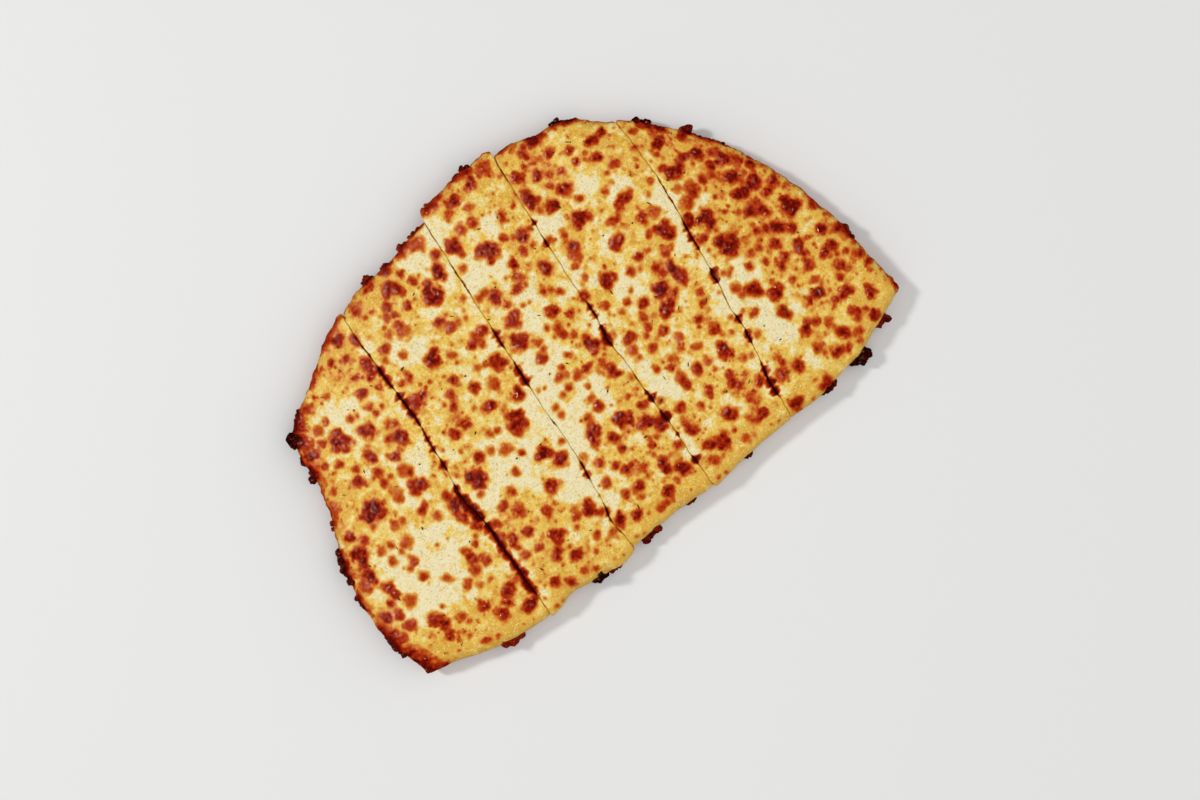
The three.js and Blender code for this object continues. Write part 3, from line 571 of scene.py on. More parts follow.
def knobsOf(blotch):
    # sunflower spiral stretched to the blotch: turn 2.4 radians, reach by the root of the share;
    # a lone blister is almost as wide as its blotch
    x, y, a, b = blotch
    count = max(1, int(round(a * b / cheeseLook["areaEach"])))
    k = np.arange(count)
    vary = (k * sequence[2] + x * 0.37 + y * 0.73) % 1.0
    smallest, largest, lone = cheeseLook["knobSize"]
    radius = np.sqrt(a * b / count) / 2 * (mix(smallest, largest, vary) if count > 1 else np.array([lone]))
    reach = np.sqrt((k + 0.5) / count) if count > 1 else np.zeros(1)
    turn = 2.4 * k + x + 1.7 * y
    wide, tall = max(0.0, a / 2 - 0.6 * radius.mean()), max(0.0, b / 2 - 0.6 * radius.mean())
    strength = min(1.25, 0.80 + 0.035 * (a + b) / 2) * mix(*cheeseLook["knobHeat"], vary)
    return list(zip(x + wide * reach * np.cos(turn), y + tall * reach * np.sin(turn), radius, strength))


def knobsOn(strip):
    # round blisters as (x, y, radius, strength): those of the listed blotches, a few risen
    # ones of middling strength, and small spots whose strength grows with size and varies
    placed = [(x, y, (a + b) / 2) for x, y, a, b in blisters[strip]]
    risen = scatter(strip, placed, strewn, 0)
    placed += [(x, y, (a + b) / 2) for x, y, a, b in blotches[strip]]
    small = scatter(strip, placed, cheeseLook["spots"], 400)
    knobs = []
    for blotch in blisters[strip] + blotches[strip]:
        knobs += knobsOf(blotch)
    knobs += [(x, y, size / 2, 0.55) for x, y, size in risen]
    for x, y, size in small:
        knobs.append((x, y, size / 2, 0.10 + 0.085 * size + 0.48 * ((x * 0.37 + y * 0.61) % 1.0)))
    return knobs


allKnobs = [knob for strip in range(stripCount) for knob in knobsOn(strip)]


def browningAt(x, y, knobs):
    # heat: the sum of strength * exp(-(away / radius)^n), n larger for large blisters, so near
    # blisters run together, held to a limit by tanh, plus a toasted edge that fades by the
    # distance from the nearest blister; glow: a wide weak sum; domes: by the same distance
    coarse, fine = cheeseLook["stir"]
    warpX, warpY = (coarse * layeredNoise(x, y, 4.4, seed, 2) + fine * layeredNoise(x, y, 1.5, seed + 5, 2)
                    for seed in (11, 17))
    crinkle = 1.0 - cellNoise(x, y, 2.1, 23) ** 2 * 1.6
    height, heat, halo, glow = (np.zeros_like(x) for _ in range(4))
    low, rise = cheeseLook["dome"]
    soft, sharper = cheeseLook["falloff"]
    glowStrength, glowReach = cheeseLook["glow"]
    haloHeat, haloReach = cheeseLook["halo"]
    for kx, ky, radius, strength in knobs:
        reach = radius + 2.2 * glowReach
        near = (np.abs(x - kx) < reach) & (np.abs(y - ky) < reach)
        if not near.any():
            continue
        give = np.clip(radius / 3.2, 0.3, 1.0)
        away = np.hypot(x[near] + give * warpX[near] - kx, y[near] + give * warpY[near] - ky)
        share = away / radius
        dome = np.clip(1 - share ** 2, 0, 1) ** 0.7 * (low + rise * radius)
        height[near] = np.maximum(height[near], dome)
        largeness = min(1.0, max(0.0, radius - 0.9) / 1.9)
        heat[near] += strength * np.exp(-share ** (soft + sharper * largeness))
        edge = min(1.0, radius / 2.4) * np.exp(-(np.maximum(0.0, away - radius) / haloReach) ** 2)
        halo[near] = np.maximum(halo[near], edge)
        glow[near] += glowStrength * min(1.0, radius / 2.2) * np.exp(-(away / (radius + glowReach)) ** 2)
    height = height + cheeseLook["grain"] * (crinkle - 0.5) * smooth(0.4, 0.9, heat)
    heat = cheeseLook["hottest"] * np.tanh(heat / cheeseLook["hottest"])
    bare = 1 - heat / cheeseLook["hottest"]
    toasted = haloHeat * halo * (1 + 0.8 * layeredNoise(x, y, 3.0, 25, 2)) * bare
    return height, heat + toasted + 0.30 * (crinkle - 0.5) * smooth(0.3, 0.8, heat), glow


def crispRimAt(x, y, away):
    # a thin toasted line, and in each span of angles a band exp(-(away / width)^4), its
    # outline pulled by noise
    pull = layeredNoise(x, y, 4.0, 61, 3)
    here = arcAngleAt(x, y) + 1.8 * pull
    lineHeat, lineReach = toastLook["line"]
    crisp = lineHeat * hump(away, lineReach) * (1 + 0.7 * layeredNoise(x, y, 9.0, 62, 2))
    uneven = 0.92 + 0.45 * layeredNoise(x, y, 2.6, 64, 2)
    for start, end, width, heat in rimCrust:
        inSpan = smooth(start - 1.0, start + 1.0, here) * smooth(end + 1.0, end - 1.0, here)
        share = away * (1 + 0.55 * pull) / (width + 0.9)
        band = heat * uneven * np.exp(-share ** 4)
        crisp = np.maximum(crisp, inSpan * (band + 0.3 * hump(share, 1.9)))
    return crisp


def goldenAt(x, y, glow, cream, rimAway, edgeAway, cutAway):
    # plain value, plus the glow held by tanh, golden patches, bells along the rim and the
    # straight edge and two noises, less pale patches and stretched cheese beside a cut
    stretched = hump(cutAway - 2.5, 2.5) * smooth(-0.1, 0.5, layeredNoise(x, y, 16.0, 47, 2))
    golden = goldenLook["plain"] + goldenLook["round"] * np.tanh(glow)
    golden = golden + goldenLook["golden"] * areaAt(x, y, goldAreas)
    golden = golden - goldenLook["pale"] * cream - goldenLook["stretched"] * stretched
    for away, (strength, reach) in ((rimAway, goldenLook["rim"]), (edgeAway, goldenLook["edge"])):
        golden = golden + strength * hump(np.maximum(0.0, away), reach)
    for strength, *noise in goldenLook["mottle"]:
        golden = golden + strength * layeredNoise(x, y, *noise)
    return golden


def warmthAt(x, y, golden, glow, rimAway):
    # the glow held by tanh, veins and specks on golden cheese, and bells along the rim and
    # over the right side
    veins = 1 - 3.2 * np.abs(layeredNoise(x, y, 6.5, 33, 2))
    specks = smooth(0.42, 0.12, cellNoise(x, y, 2.0, 37)) * smooth(-0.3, 0.3, layeredNoise(x, y, 5.0, 41))
    fine = toastLook["veins"] * veins + toastLook["specks"] * specks
    warm = toastLook["round"] * np.tanh(1.2 * glow) + fine * np.clip(golden + 0.2, 0, 1)
    rimHeat, rimReach = toastLook["rim"]
    rightHeat, (rightX, rightY), rightReach = toastLook["right"]
    warm = warm + rimHeat * hump(rimAway, rimReach)
    return warm + rightHeat * hump(np.hypot(x - rightX, y - rightY), rightReach)


def seamHeatAt(x, y, strip, cutAway):
    # bell along a cut, wider and hotter where the cheese stands open, stirred by noise
    scorch = smooth(0.15, 0.8, openingBeside(x, y, strip, "cheese"))
    spill = 1 + 0.9 * layeredNoise(x, y, 5.0, 65, 3)
    (width, wider), (heat, hotter) = toastLook["seamWidth"], toastLook["seamHeat"]
    return hump(np.maximum(0.0, cutAway), width + wider * scorch * spill) * (heat + hotter * scorch) * spill


def looseToastAt(x, y, golden, edgeAway):
    # smears by noise and two sizes of freckles, both stronger on golden cheese
    fade = smooth(*toastLook["clear"], edgeAway)
    smears = toastLook["smears"] * smooth(-0.05, 0.5, layeredNoise(x, y, 5.0, 45, 3))
    freckles = sum(strength * freckleNoise(x, y, *noise) for strength, *noise in toastLook["freckles"])
    return smears * np.clip(golden - 0.1, 0, 1) * fade, np.clip(golden + 0.15, 0.15, 1) * freckles * fade


def cheeseFields(x, y, strip):
    # unevenness in millimetres; golden: 0 on white cheese to 1 on oily yellow cheese;
    # heat: 0 where nothing is browned to 1 on a dark blister, the greatest of all kinds of
    # browning, plus the faint warmth
    rimAway, arcAway = rimDistanceAt(x, y, strip), arcDistanceAt(x, y, strip)
    edgeAway = y - footLineAt(x, strip)
    left, right = cutFacesAt(y, strip, "cheese")
    cutAway = np.minimum(x - left, right - x)
    domes, heat, glow = browningAt(x, y, [knob for knob in allKnobs if x.min() - 9 < knob[0] < x.max() + 9])
    cream = areaAt(x, y, creamAreas)
    golden = goldenAt(x, y, glow, cream, rimAway, edgeAway, cutAway)
    crisp = crispRimAt(x, y, np.maximum(0.0, arcAway))
    seam = seamHeatAt(x, y, strip, cutAway)
    smears, freckles = looseToastAt(x, y, golden, edgeAway)
    heat = np.max((heat + 0.6 * freckles, freckles, crisp, seam, smears), axis=0)
    heat = heat + warmthAt(x, y, golden, glow, rimAway)
    ripple = cheeseLook["ripple"] * (layeredNoise(x, y, 7.0, 53, 2) + 1.3 * layeredNoise(x, y, 2.6, 59, 2))
    lump, crustLump = cheeseLook["rimLumps"]
    lumps = lump * hump(arcAway, 4.0) * layeredNoise(x, y, 4.5, 63, 2)
    lumps = lumps + crustLump * smooth(0.4, 0.8, crisp) * (0.75 - cellNoise(x, y, 3.1, 66))
    relief = domes + ripple + cheeseLook["palePuff"] * cream + lumps
    return relief, np.clip(golden, 0, 1), np.clip(heat, 0, 1.4)


# Meshes from grids and loops

def netQuads(net):
    # faces between neighbours in a net of point numbers
    return np.stack((net[:-1, :-1], net[:-1, 1:], net[1:, 1:], net[1:, :-1]), -1).reshape(-1, 4)


def borderLoop(rows, columns):
    # indices round a grid: foot, right side, head, left side
    i = np.arange(rows * columns).reshape(rows, columns)
    return np.concatenate((i[0, :-1], i[:-1, -1], i[-1, :0:-1], i[:0:-1, 0]))


def bandQuads(rings):
    # faces between each closed ring of point numbers and the ring below it
    upper, lower = np.array(rings[:-1]), np.array(rings[1:])
    return np.stack((lower, np.roll(lower, -1, 1), np.roll(upper, -1, 1), upper), -1).reshape(-1, 4)


def sharesAlong(path):
    # share of a path's length up to each of its points
    steps = np.linalg.norm(np.diff(path, axis=0), axis=1)
    return np.concatenate(([0.0], np.cumsum(steps))) / steps.sum()


def capParts(points, loop, rows, columns, across=8):
    # closes a loop by a net of a few columns, a Coons patch between the loop's four sides:
    # quads in the net, and fans of triangles to the many points of the foot and the head
    total = len(loop)
    left = loop[(total - np.arange(rows)) % total]
    right = loop[columns - 1 + np.arange(rows)]
    foot = loop[:columns]
    head = loop[2 * (columns - 1) + rows - 1 - np.arange(columns)]
    picked = np.round(np.linspace(0, columns - 1, across)).astype(int)[1:-1]
    v = sharesAlong(points[left])[1:-1, None, None]
    u = sharesAlong(points[foot])[picked][None, :, None]
    footEnds, headEnds = points[foot[[0, -1]]], points[head[[0, -1]]]
    inside = mix(points[left[1:-1]][:, None], points[right[1:-1]][:, None], u)
    inside = inside + mix(points[foot[picked]][None], points[head[picked]][None], v)
    inside = inside - mix(mix(*footEnds, u), mix(*headEnds, u), v)
    inner = len(points) + np.arange((rows - 2) * (across - 2)).reshape(rows - 2, across - 2)
    net = np.concatenate((left[1:-1, None], inner, right[1:-1, None]), 1)
    nearest = np.round(np.arange(columns) / (columns - 1) * (across - 1)).astype(int)
    moved = np.nonzero(np.diff(nearest))[0]
    triangles = []
    for edge, row, flip in ((foot, net[0], False), (head, net[-1], True)):
        fan = np.stack((edge[:-1], edge[1:], row[nearest[:-1]]), -1)
        link = np.stack((edge[moved + 1], row[nearest[moved + 1]], row[nearest[moved]]), -1)
        both = np.concatenate((fan, link))
        triangles.append(both[:, ::-1] if flip else both)
    return netQuads(net), np.concatenate(triangles), inside.reshape(-1, 3)


def makePiece(name, points, faceSets, attributes, material):
    # points are in the plan's millimetres and go to their place in the frame; faceSets is a
    # list of (faces, corner places on the unwrapped map)
    mesh = bpy.data.meshes.new(name)
    corners = np.concatenate([faces.ravel() for faces, _ in faceSets])
    sizes = np.concatenate([np.full(len(faces), faces.shape[1]) for faces, _ in faceSets])
    starts = np.concatenate(([0], np.cumsum(sizes)[:-1]))
    mesh.vertices.add(len(points))
    placed = (points + np.array((*halfMoon["place"], 0.0))) * mm
    mesh.vertices.foreach_set("co", placed.astype(np.float32).ravel())
    mesh.loops.add(len(corners))
    mesh.loops.foreach_set("vertex_index", corners.astype(np.int32))
    mesh.polygons.add(len(sizes))
    mesh.polygons.foreach_set("loop_start", starts.astype(np.int32))
    mesh.polygons.foreach_set("use_smooth", np.ones(len(sizes), bool))
    unwrapped = mesh.uv_layers.new(name="OFBake")
    places = np.concatenate([spots.reshape(-1, 2) for _, spots in faceSets])
    unwrapped.data.foreach_set("uv", places.astype(np.float32).ravel())
    for label, values in attributes.items():
        layer = mesh.attributes.new(label, "FLOAT", "POINT")
        layer.data.foreach_set("value", np.asarray(values, np.float32))
    mesh.update()
    mesh.validate()
    mesh.materials.append(material)
    piece = bpy.data.objects.new(name, mesh)
    bpy.context.scene.collection.objects.link(piece)
    return piece


islands = {                          # rectangles of the unwrapped map: left, low, right, high
    "whole": (0.01, 0.01, 0.99, 0.99),
    "cheese": (0.01, 0.01, 0.86, 0.99), "beneath": (0.88, 0.01, 0.99, 0.99),
    "wall": (0.01, 0.01, 0.99, 0.34), "base": (0.01, 0.36, 0.99, 0.84), "lid": (0.01, 0.86, 0.99, 0.99),
}


def intoIsland(places, island):
    # stretches map places to fill a rectangle of the map
    corners = places.reshape(-1, 2)
    low, high = corners.min(0), corners.max(0)
    left, right = np.array(island[:2]), np.array(island[2:])
    return left + (places - low) / (high - low) * (right - left)


def mapped(faces, places, flip=False):
    # faces, turned over if asked, with the map place of each corner
    faces = faces[:, ::-1] if flip else faces
    return faces, places[faces]


# Materials

cheeseTones = (                      # how golden the plain cheese is, colour 0 to 255
    (0.00, (241, 230, 186)), (0.25, (242, 217, 140)), (0.50, (241, 205, 91)),
    (0.75, (237, 190, 64)), (1.00, (224, 168, 45)),
)
toastTones = (                       # heat, from 0 to 1.25 over the ramp's length
    (0.12, (236, 200, 88)), (0.26, (226, 166, 62)), (0.38, (214, 126, 44)), (0.50, (198, 90, 28)),
    (0.62, (186, 64, 19)), (0.76, (167, 42, 13)), (0.90, (139, 23, 8)), (1.00, (100, 13, 5)),
)
crispTones = ((0.15, (176, 62, 16)), (0.35, (138, 30, 9)), (0.62, (92, 12, 5)), (0.95, (40, 4, 4)))
crustTones = (                       # how baked the dough is
    (0.00, (238, 219, 172)), (0.18, (228, 196, 132)), (0.36, (214, 160, 82)), (0.52, (196, 124, 54)),
    (0.68, (160, 84, 34)), (0.82, (116, 34, 12)), (0.94, (78, 12, 4)),
)
leafTones = ((0.25, (32, 34, 12)), (0.75, (70, 72, 28)))


def toLinear(colour):
    # screen colour to linear light
    share = np.array(colour) / 255.0
    return (*np.where(share <= 0.04045, share / 12.92, ((share + 0.055) / 1.055) ** 2.4), 1.0)


class Nodes:
    # short hand for building a material's node tree; a value is a number or another node's output

    def __init__(self, name):
        self.material = bpy.data.materials.new(name)
        self.material.use_nodes = True
        self.tree = self.material.node_tree
        self.shader = self.tree.nodes["Principled BSDF"]

    def add(self, kind, values=None, **settings):
        # one node with its settings and the values of its inputs
        node = self.tree.nodes.new(kind)
        for key, value in settings.items():
            setattr(node, key, value)
        for key, value in (values or {}).items():
            if isinstance(value, bpy.types.NodeSocket):
                self.tree.links.new(value, node.inputs[key])
            else:
                node.inputs[key].default_value = value
        return node

    def put(self, socket, value):
        # value of an input of the main shader
        if isinstance(value, bpy.types.NodeSocket):
            self.tree.links.new(value, self.shader.inputs[socket])
        else:
            self.shader.inputs[socket].default_value = value

    def math(self, operation, a, b=0.0, clamp=False):
        # result of a and b, held between 0 and 1 if clamp
        return self.add("ShaderNodeMath", {0: a, 1: b}, operation=operation, use_clamp=clamp).outputs[0]

    def ramp(self, factor, tones):
        # colour blended straight between the tones on both sides of the factor
        node = self.add("ShaderNodeValToRGB", {"Fac": factor})
        elements = node.color_ramp.elements
        while len(elements) < len(tones):
            elements.new(1.0)
        for element, (at, colour) in zip(elements, tones):
            element.position = at
            element.color = toLinear(colour)
        return node.outputs["Color"]

    def plus(self, first, *others, clamp=False):
        # sum, its last step clamped if asked
        for k, other in enumerate(others):
            first = self.math("ADD", first, other, clamp and k == len(others) - 1)
        return first

    def times(self, a, b, clamp=False):
        # product
        return self.math("MULTIPLY", a, b, clamp)

    def noise(self, scale, detail=3.0, roughness=0.5):
        # layered noise in the object's own place, from 0 to 1; scale in cells for each metre
        place = self.add("ShaderNodeTexCoord").outputs["Object"]
        return self.add("ShaderNodeTexNoise", {"Vector": place, "Scale": scale, "Detail": detail,
                                               "Roughness": roughness}).outputs["Fac"]

    def swing(self, scale, detail=3.0, roughness=0.5):
        # noise moved down, to lie about zero
        return self.math("SUBTRACT", self.noise(scale, detail, roughness), 0.5)

    def cells(self, scale):
        # distance to the nearest of one point in each cell
        place = self.add("ShaderNodeTexCoord").outputs["Object"]
        return self.add("ShaderNodeTexVoronoi", {"Vector": place, "Scale": scale}).outputs["Distance"]

    def span(self, value, low, high):
        # cubic ease of the value from 0 at low to 1 at high
        return self.add("ShaderNodeMapRange", {"Value": value, "From Min": low, "From Max": high},
                        interpolation_type="SMOOTHSTEP").outputs["Result"]

    def blend(self, share, a, b):
        # colour a moved to colour b by the share
        return self.add("ShaderNodeMix", {0: share, 6: a, 7: b}, data_type="RGBA").outputs[2]

    def attribute(self, name):
        # value that the mesh holds at each point
        return self.add("ShaderNodeAttribute", attribute_name=name).outputs["Fac"]

    def gloss(self, roughness, level, tint=(1.0, 1.0, 1.0, 1.0)):
        # how rough the surface is, how strongly it mirrors and in which tint
        self.put("Roughness", roughness)
        self.put("Specular IOR Level", level)
        self.put("Specular Tint", tint)

    def bump(self, height, strength, distance):
        # small unevenness of the shading by the height
        node = self.add("ShaderNodeBump", {"Strength": strength, "Distance": distance, "Height": height})
        self.put("Normal", node.outputs["Normal"])


surfaces = {                         # gloss: roughness, specular level, tint; bump: strength, metres
    "pitShadeSpecks": (1050.0, 0.56, (198, 148, 50)),         # noise scale, share and colour; the dark specks are painted shade of small pits
    "paleSpecks": (1180.0, 0.60, (250, 240, 200)),
    "cheeseRoughness": (0.50, 0.09),                      # of plain cheese and of dark blisters
    "cheeseGloss": (0.6, (1.0, 0.76, 0.56, 1.0)), "cheeseBump": (0.8, 0.0009),
    "crispGloss": (0.17, 0.6, (1.0, 0.86, 0.74, 1.0)), "crispBump": (0.3, 0.0006),
    "breadGloss": (0.62, 0.35), "breadBump": (0.7, 0.0008),
    "herbGloss": (0.75, 0.1),
}


def cheeseMaterial():
    # plain cheese by how golden it is with fine pale specks and dark specks of painted pit shade,
    # covered by toast where heat is above about 0.15; grain stirs the heat, painted shade darkens
    # the creases between bubbles, and blisters are glossy
    nodes = Nodes("meltedCheese")
    golden, heat = nodes.attribute("golden"), nodes.attribute("browned")
    grain, mottle = nodes.swing(1000.0, 2.0), nodes.swing(430.0)
    blister = nodes.span(heat, 0.45, 0.85)
    goldenHere = nodes.plus(golden, nodes.times(grain, 1.1), nodes.times(mottle, 0.9), clamp=True)
    plain = nodes.ramp(goldenHere, cheeseTones)
    # the first specks, the dark ones, are painted shade of small pits
    for scale, share, colour in (surfaces["pitShadeSpecks"], surfaces["paleSpecks"]):
        speck = nodes.span(nodes.noise(scale, 2.0), 0.54, 0.68)
        plain = nodes.blend(nodes.times(speck, share), plain, toLinear(colour))
    stirred = nodes.plus(nodes.times(grain, 0.55), nodes.times(mottle, 0.30))
    stirred = nodes.times(stirred, nodes.plus(nodes.times(heat, 0.8, clamp=True), 0.15))
    # painted shade: the creases between a blister's bubbles are darkened by raising their heat
    creaseShade = nodes.times(nodes.math("SUBTRACT", nodes.cells(640.0), 0.45), nodes.times(blister, 0.28))
    heatHere = nodes.times(nodes.plus(heat, stirred, creaseShade), 0.8, clamp=True)
    toast = nodes.ramp(heatHere, toastTones)
    nodes.put("Base Color", nodes.blend(nodes.span(heatHere, 0.09, 0.27), plain, toast))
    dull, glossy = surfaces["cheeseRoughness"]
    roughness = nodes.add("ShaderNodeMapRange", {"Value": heat, "From Min": 0.25, "From Max": 0.6,
                                                 "To Min": dull, "To Max": glossy}).outputs["Result"]
    nodes.gloss(roughness, *surfaces["cheeseGloss"])
    crumbly = nodes.plus(nodes.times(nodes.noise(1500.0, 2.0), 0.25), nodes.noise(700.0, 2.0, 0.6))
    crumbly = nodes.times(crumbly, nodes.math("SUBTRACT", 0.9, nodes.times(blister, 0.2)))
    nodes.bump(crumbly, *surfaces["cheeseBump"])
    return nodes.material


def crispMaterial():
    # red-brown to black by how baked it is, stirred by noise, and glossy
    nodes = Nodes("caramelisedCheese")
    tone = nodes.plus(nodes.attribute("bake"), nodes.swing(700.0, 2.0))
    nodes.put("Base Color", nodes.ramp(tone, crispTones))
    nodes.gloss(*surfaces["crispGloss"])
    nodes.bump(nodes.noise(800.0, 1.0), *surfaces["crispBump"])
    return nodes.material


def breadMaterial():
    # pale crumb to dark crust by how baked it is, stirred by fine and broad noise
    nodes = Nodes("bakedDough")
    fine, broad = nodes.swing(700.0, 3.0, 0.6), nodes.swing(150.0, 3.0, 0.6)
    tone = nodes.plus(nodes.attribute("bake"), nodes.times(fine, 0.34), nodes.times(broad, 0.26), clamp=True)
    nodes.put("Base Color", nodes.ramp(tone, crustTones))
    nodes.gloss(*surfaces["breadGloss"])
    crumbly = nodes.plus(nodes.times(nodes.noise(1400.0, 3.0, 0.7), 0.5), nodes.noise(420.0))
    nodes.bump(crumbly, *surfaces["breadBump"])
    return nodes.material


# Cheese of one strip

def outwardOf(loopX, loopY):
    # tangent of the loop turned a quarter to the outside
    tx = np.roll(loopX, -1) - np.roll(loopX, 1)
    ty = np.roll(loopY, -1) - np.roll(loopY, 1)
    size = np.hypot(tx, ty)
    return ty / size, -tx / size


def rimShareAt(x, y, strip):
    # 1 along arc and edge, easing to 0 in a cut
    return 1 - smooth(*section["rimFade"], rimDistanceAt(x, y, strip))


def stripGrid(strip, layer, step):
    # grid of places over a strip's plan, its steps fitted to the strip's mean width and length
    ends = stripEnds(strip, layer)
    widthFoot = ends["right"]["footX"] - ends["left"]["footX"]
    u, v = np.array([0.0, 1.0, 0.5, 0.5]), np.array([0.5, 0.5, 0.0, 1.0])
    x, y = planAt(strip, layer, u, v)
    width = (widthFoot + float(np.hypot(x[0] - x[1], y[0] - y[1]))) / 2
    length = float(np.hypot(x[2] - x[3], y[2] - y[3]))
    u, v = np.meshgrid(edgeSteps(width, step), edgeSteps(length, step))
    return planAt(strip, layer, u, v)


def wanderRim(x, y, strip):
    # noise moves what is near the rim outwards or inwards, fading by a bell over its reach
    turn = np.radians(arcAngleAt(x, y))
    push = layeredNoise(x, y, 4.6, 121, 3)
    onArc, onEdge, reach = cheeseLook["rimWander"]
    arcPush = onArc * push * hump(arcDistanceAt(x, y, strip), reach)
    edgePush = onEdge * push * hump(y - footLineAt(x, strip), reach)
    return x + arcPush * np.cos(turn), y + arcPush * np.sin(turn) - edgePush


def cheeseGeometry(strip):
    # top of a strip's cheese: places, heights, goldness and heat on its grid
    x, y = stripGrid(strip, "cheese", cheeseLook["step"])
    relief, golden, heat = cheeseFields(x, y, strip)
    z = cheeseTopAt(x, y, strip) + relief
    x, y = wanderRim(x, y, strip)
    return {"strip": strip, "x": x, "y": y, "z": z, "golden": golden, "heat": heat}


def hangingRings(border, heat, strip):
    # loops from the border down to the lip on the rim or to the dough in a cut, then two that
    # turn under; in an open cut they step out, as browned cheese that ran in and nearly
    # closes it. The map runs on outwards by the length of the fall.
    bx, by, bz = border.T
    nx, ny = outwardOf(bx, by)
    rim = rimShareAt(bx, by, strip)
    waver = sum(size * layeredNoise(bx, by, *noise) for size, *noise in cheeseLook["lipWaver"])
    under = doughTopAt(bx, by, strip) + section["layerGap"]
    bottom = mix(np.minimum(under, bz - cheeseLook["leastFall"]), section["lipHeight"] + waver, rim)
    ledge = np.maximum(0.0, openingBeside(bx, by, strip, "cheese") - 0.08)
    count = cheeseLook["rings"]
    bulge, lean, rag = cheeseLook["hang"]
    loops, maps, tones = [border], [], []
    fall = np.zeros_like(bx)
    for k in range(1, count + 3):
        t = min(1.0, k / count)
        rough = 0.45 * layeredNoise(bx + 8.4 * t, by - 6.8 * t, 3.4, 71)
        out = rim * (bulge * np.sin(pi * t) - lean * t * t + rag * rough * np.sin(pi * min(t, 0.8)))
        out = out + (1 - rim) * (ledge * smooth(*cheeseLook["ledge"], t) - 0.12 * (1 + rough))
        if k > count:
            out = out - mix(*(inwards[k - count - 1] for inwards in cheeseLook["tuck"]), rim)
        z = mix(bz, bottom, t) + (0.25 * rim if k == count + 2 else 0.0)
        loops.append(np.stack((bx + nx * out, by + ny * out, z), -1))
        fall = fall + np.linalg.norm(loops[-1] - loops[-2], axis=1)
        maps.append(np.stack((bx + nx * fall, by + ny * fall), -1))
        stir = layeredNoise(bx + 5 * t, by + 4 * t, 4.0, 73, 2)
        brown = np.maximum(0.14 + 0.42 * t ** 1.5 + 0.30 * stir, heat * (1.05 - 0.55 * t + 0.5 * stir))
        # in a cut the cheese's side is darkened as painted shade of the narrow gap, most on the ledge, where
        # the cheese that ran in is also really browned
        seam = 0.32 + 0.25 * layeredNoise(bx, by + 6 * t, 4.0, 79) + 0.95 * smooth(0.1, 0.5, ledge)
        tones.append(mix(seam, brown, rim))
    return loops[1:], maps, tones


def cheesePiece(shape, material):
    # grid on top, the hanging loops and a cap under the strip, just above the dough; goldness
    # and heat pass from the border's to the loops' own over the first five loops
    strip, (rows, columns) = shape["strip"], shape["x"].shape
    border = borderLoop(rows, columns)
    top = np.stack((shape["x"], shape["y"], shape["z"]), -1).reshape(-1, 3)
    heatTop, goldenTop = shape["heat"].ravel(), shape["golden"].ravel()
    loops, maps, tones = hangingRings(top[border], heatTop[border], strip)
    around = len(border)
    rings = [border, *(len(top) + np.arange(len(loops) * around).reshape(-1, around))]
    points = np.concatenate([top] + loops)
    quads, triangles, inner = capParts(points, rings[-1], rows, columns)
    inner[:, 2] = doughTopAt(inner[:, 0], inner[:, 1], strip) + section["layerGap"]

    outside = intoIsland(np.concatenate([top[:, :2]] + maps), islands["cheese"])
    points = np.concatenate((points, inner))
    beneath = intoIsland(points[:, :2], islands["beneath"])
    grid = np.arange(rows * columns).reshape(rows, columns)
    skin = np.concatenate((netQuads(grid), bandQuads(rings)))
    faceSets = [mapped(skin, outside), mapped(quads, beneath, True), mapped(triangles, beneath, True)]
    away = np.repeat(smooth(0.0, 5.0, np.arange(1.0, len(loops) + 1)), around)
    heatRings = mix(np.tile(heatTop[border], len(loops)), np.concatenate(tones), away)
    goldenRings = mix(np.tile(goldenTop[border], len(loops)), 0.8, away)
    values = {"browned": np.concatenate((heatTop, heatRings, np.full(len(inner), 0.2))),
              "golden": np.concatenate((goldenTop, goldenRings, np.full(len(inner), 0.6)))}
    return makePiece(f"cheese_{strip + 1}", points, faceSets, values, material)


# Bread of one strip

breadLook = {
    "step": 0.6,                     # spacing of the points along the wall
    "rings": 26,                     # loops down the wall
    "wallTop": 9.0,                  # on the rim; the cheese hides what is above its lip
    # how far the wall stands out at each height
    "rimProfile": ((0.0, 0.5, 1.2, 2.4, 4.0, 5.2, 7.0, 9.0),
                   (-1.8, -1.2, -0.8, -0.6, -0.8, -1.2, -1.5, -1.8)),
    "crust": 0.55,                   # roughness of the crust, in millimetres
    "pores": 0.7,                    # depth of the crumb's holes at a cut
    "join": (0.2, (0.8, 2.2)),       # opening from which the dough joins below, and how far down
    "crag": (3.2, 0.7),              # height of a crag's middle, and its share of the crag's reach
    "browned": (0.62, 0.58, 0.60),   # how baked rim and base are, and on a cut face the painted shade of the narrow gap
}


def cragPlaces(strip):
    # point on the rim, direction of the rim in degrees (outside lies to its right), sizes
    places = []
    for at, *size in crags[strip]["arc"]:
        places.append((arcPointAt(at, strip), at + 90.0, size))
    for at, *size in crags[strip]["edge"]:
        places.append(((at, footLineAt(at, strip)), 0.0, size))
    return places


def cragField(loopX, loopY, height, strip):
    # the wall's own swelling under a crag: an ellipsoid, out by the root of what is left of 1
    middle, share = breadLook["crag"]
    out = np.zeros_like(loopX)
    for (cx, cy), lie, (length, reach, _, _) in cragPlaces(strip):
        turn = np.radians(lie)
        along = (loopX - cx) * np.cos(turn) + (loopY - cy) * np.sin(turn)
        near = np.hypot(loopX - cx, loopY - cy) < length
        level = (height - middle) / middle
        left = 1 - (along / (length / 2)) ** 2 - level ** 2
        out = np.where(near, np.maximum(out, share * reach * np.sqrt(np.maximum(0.0, left))), out)
    return out


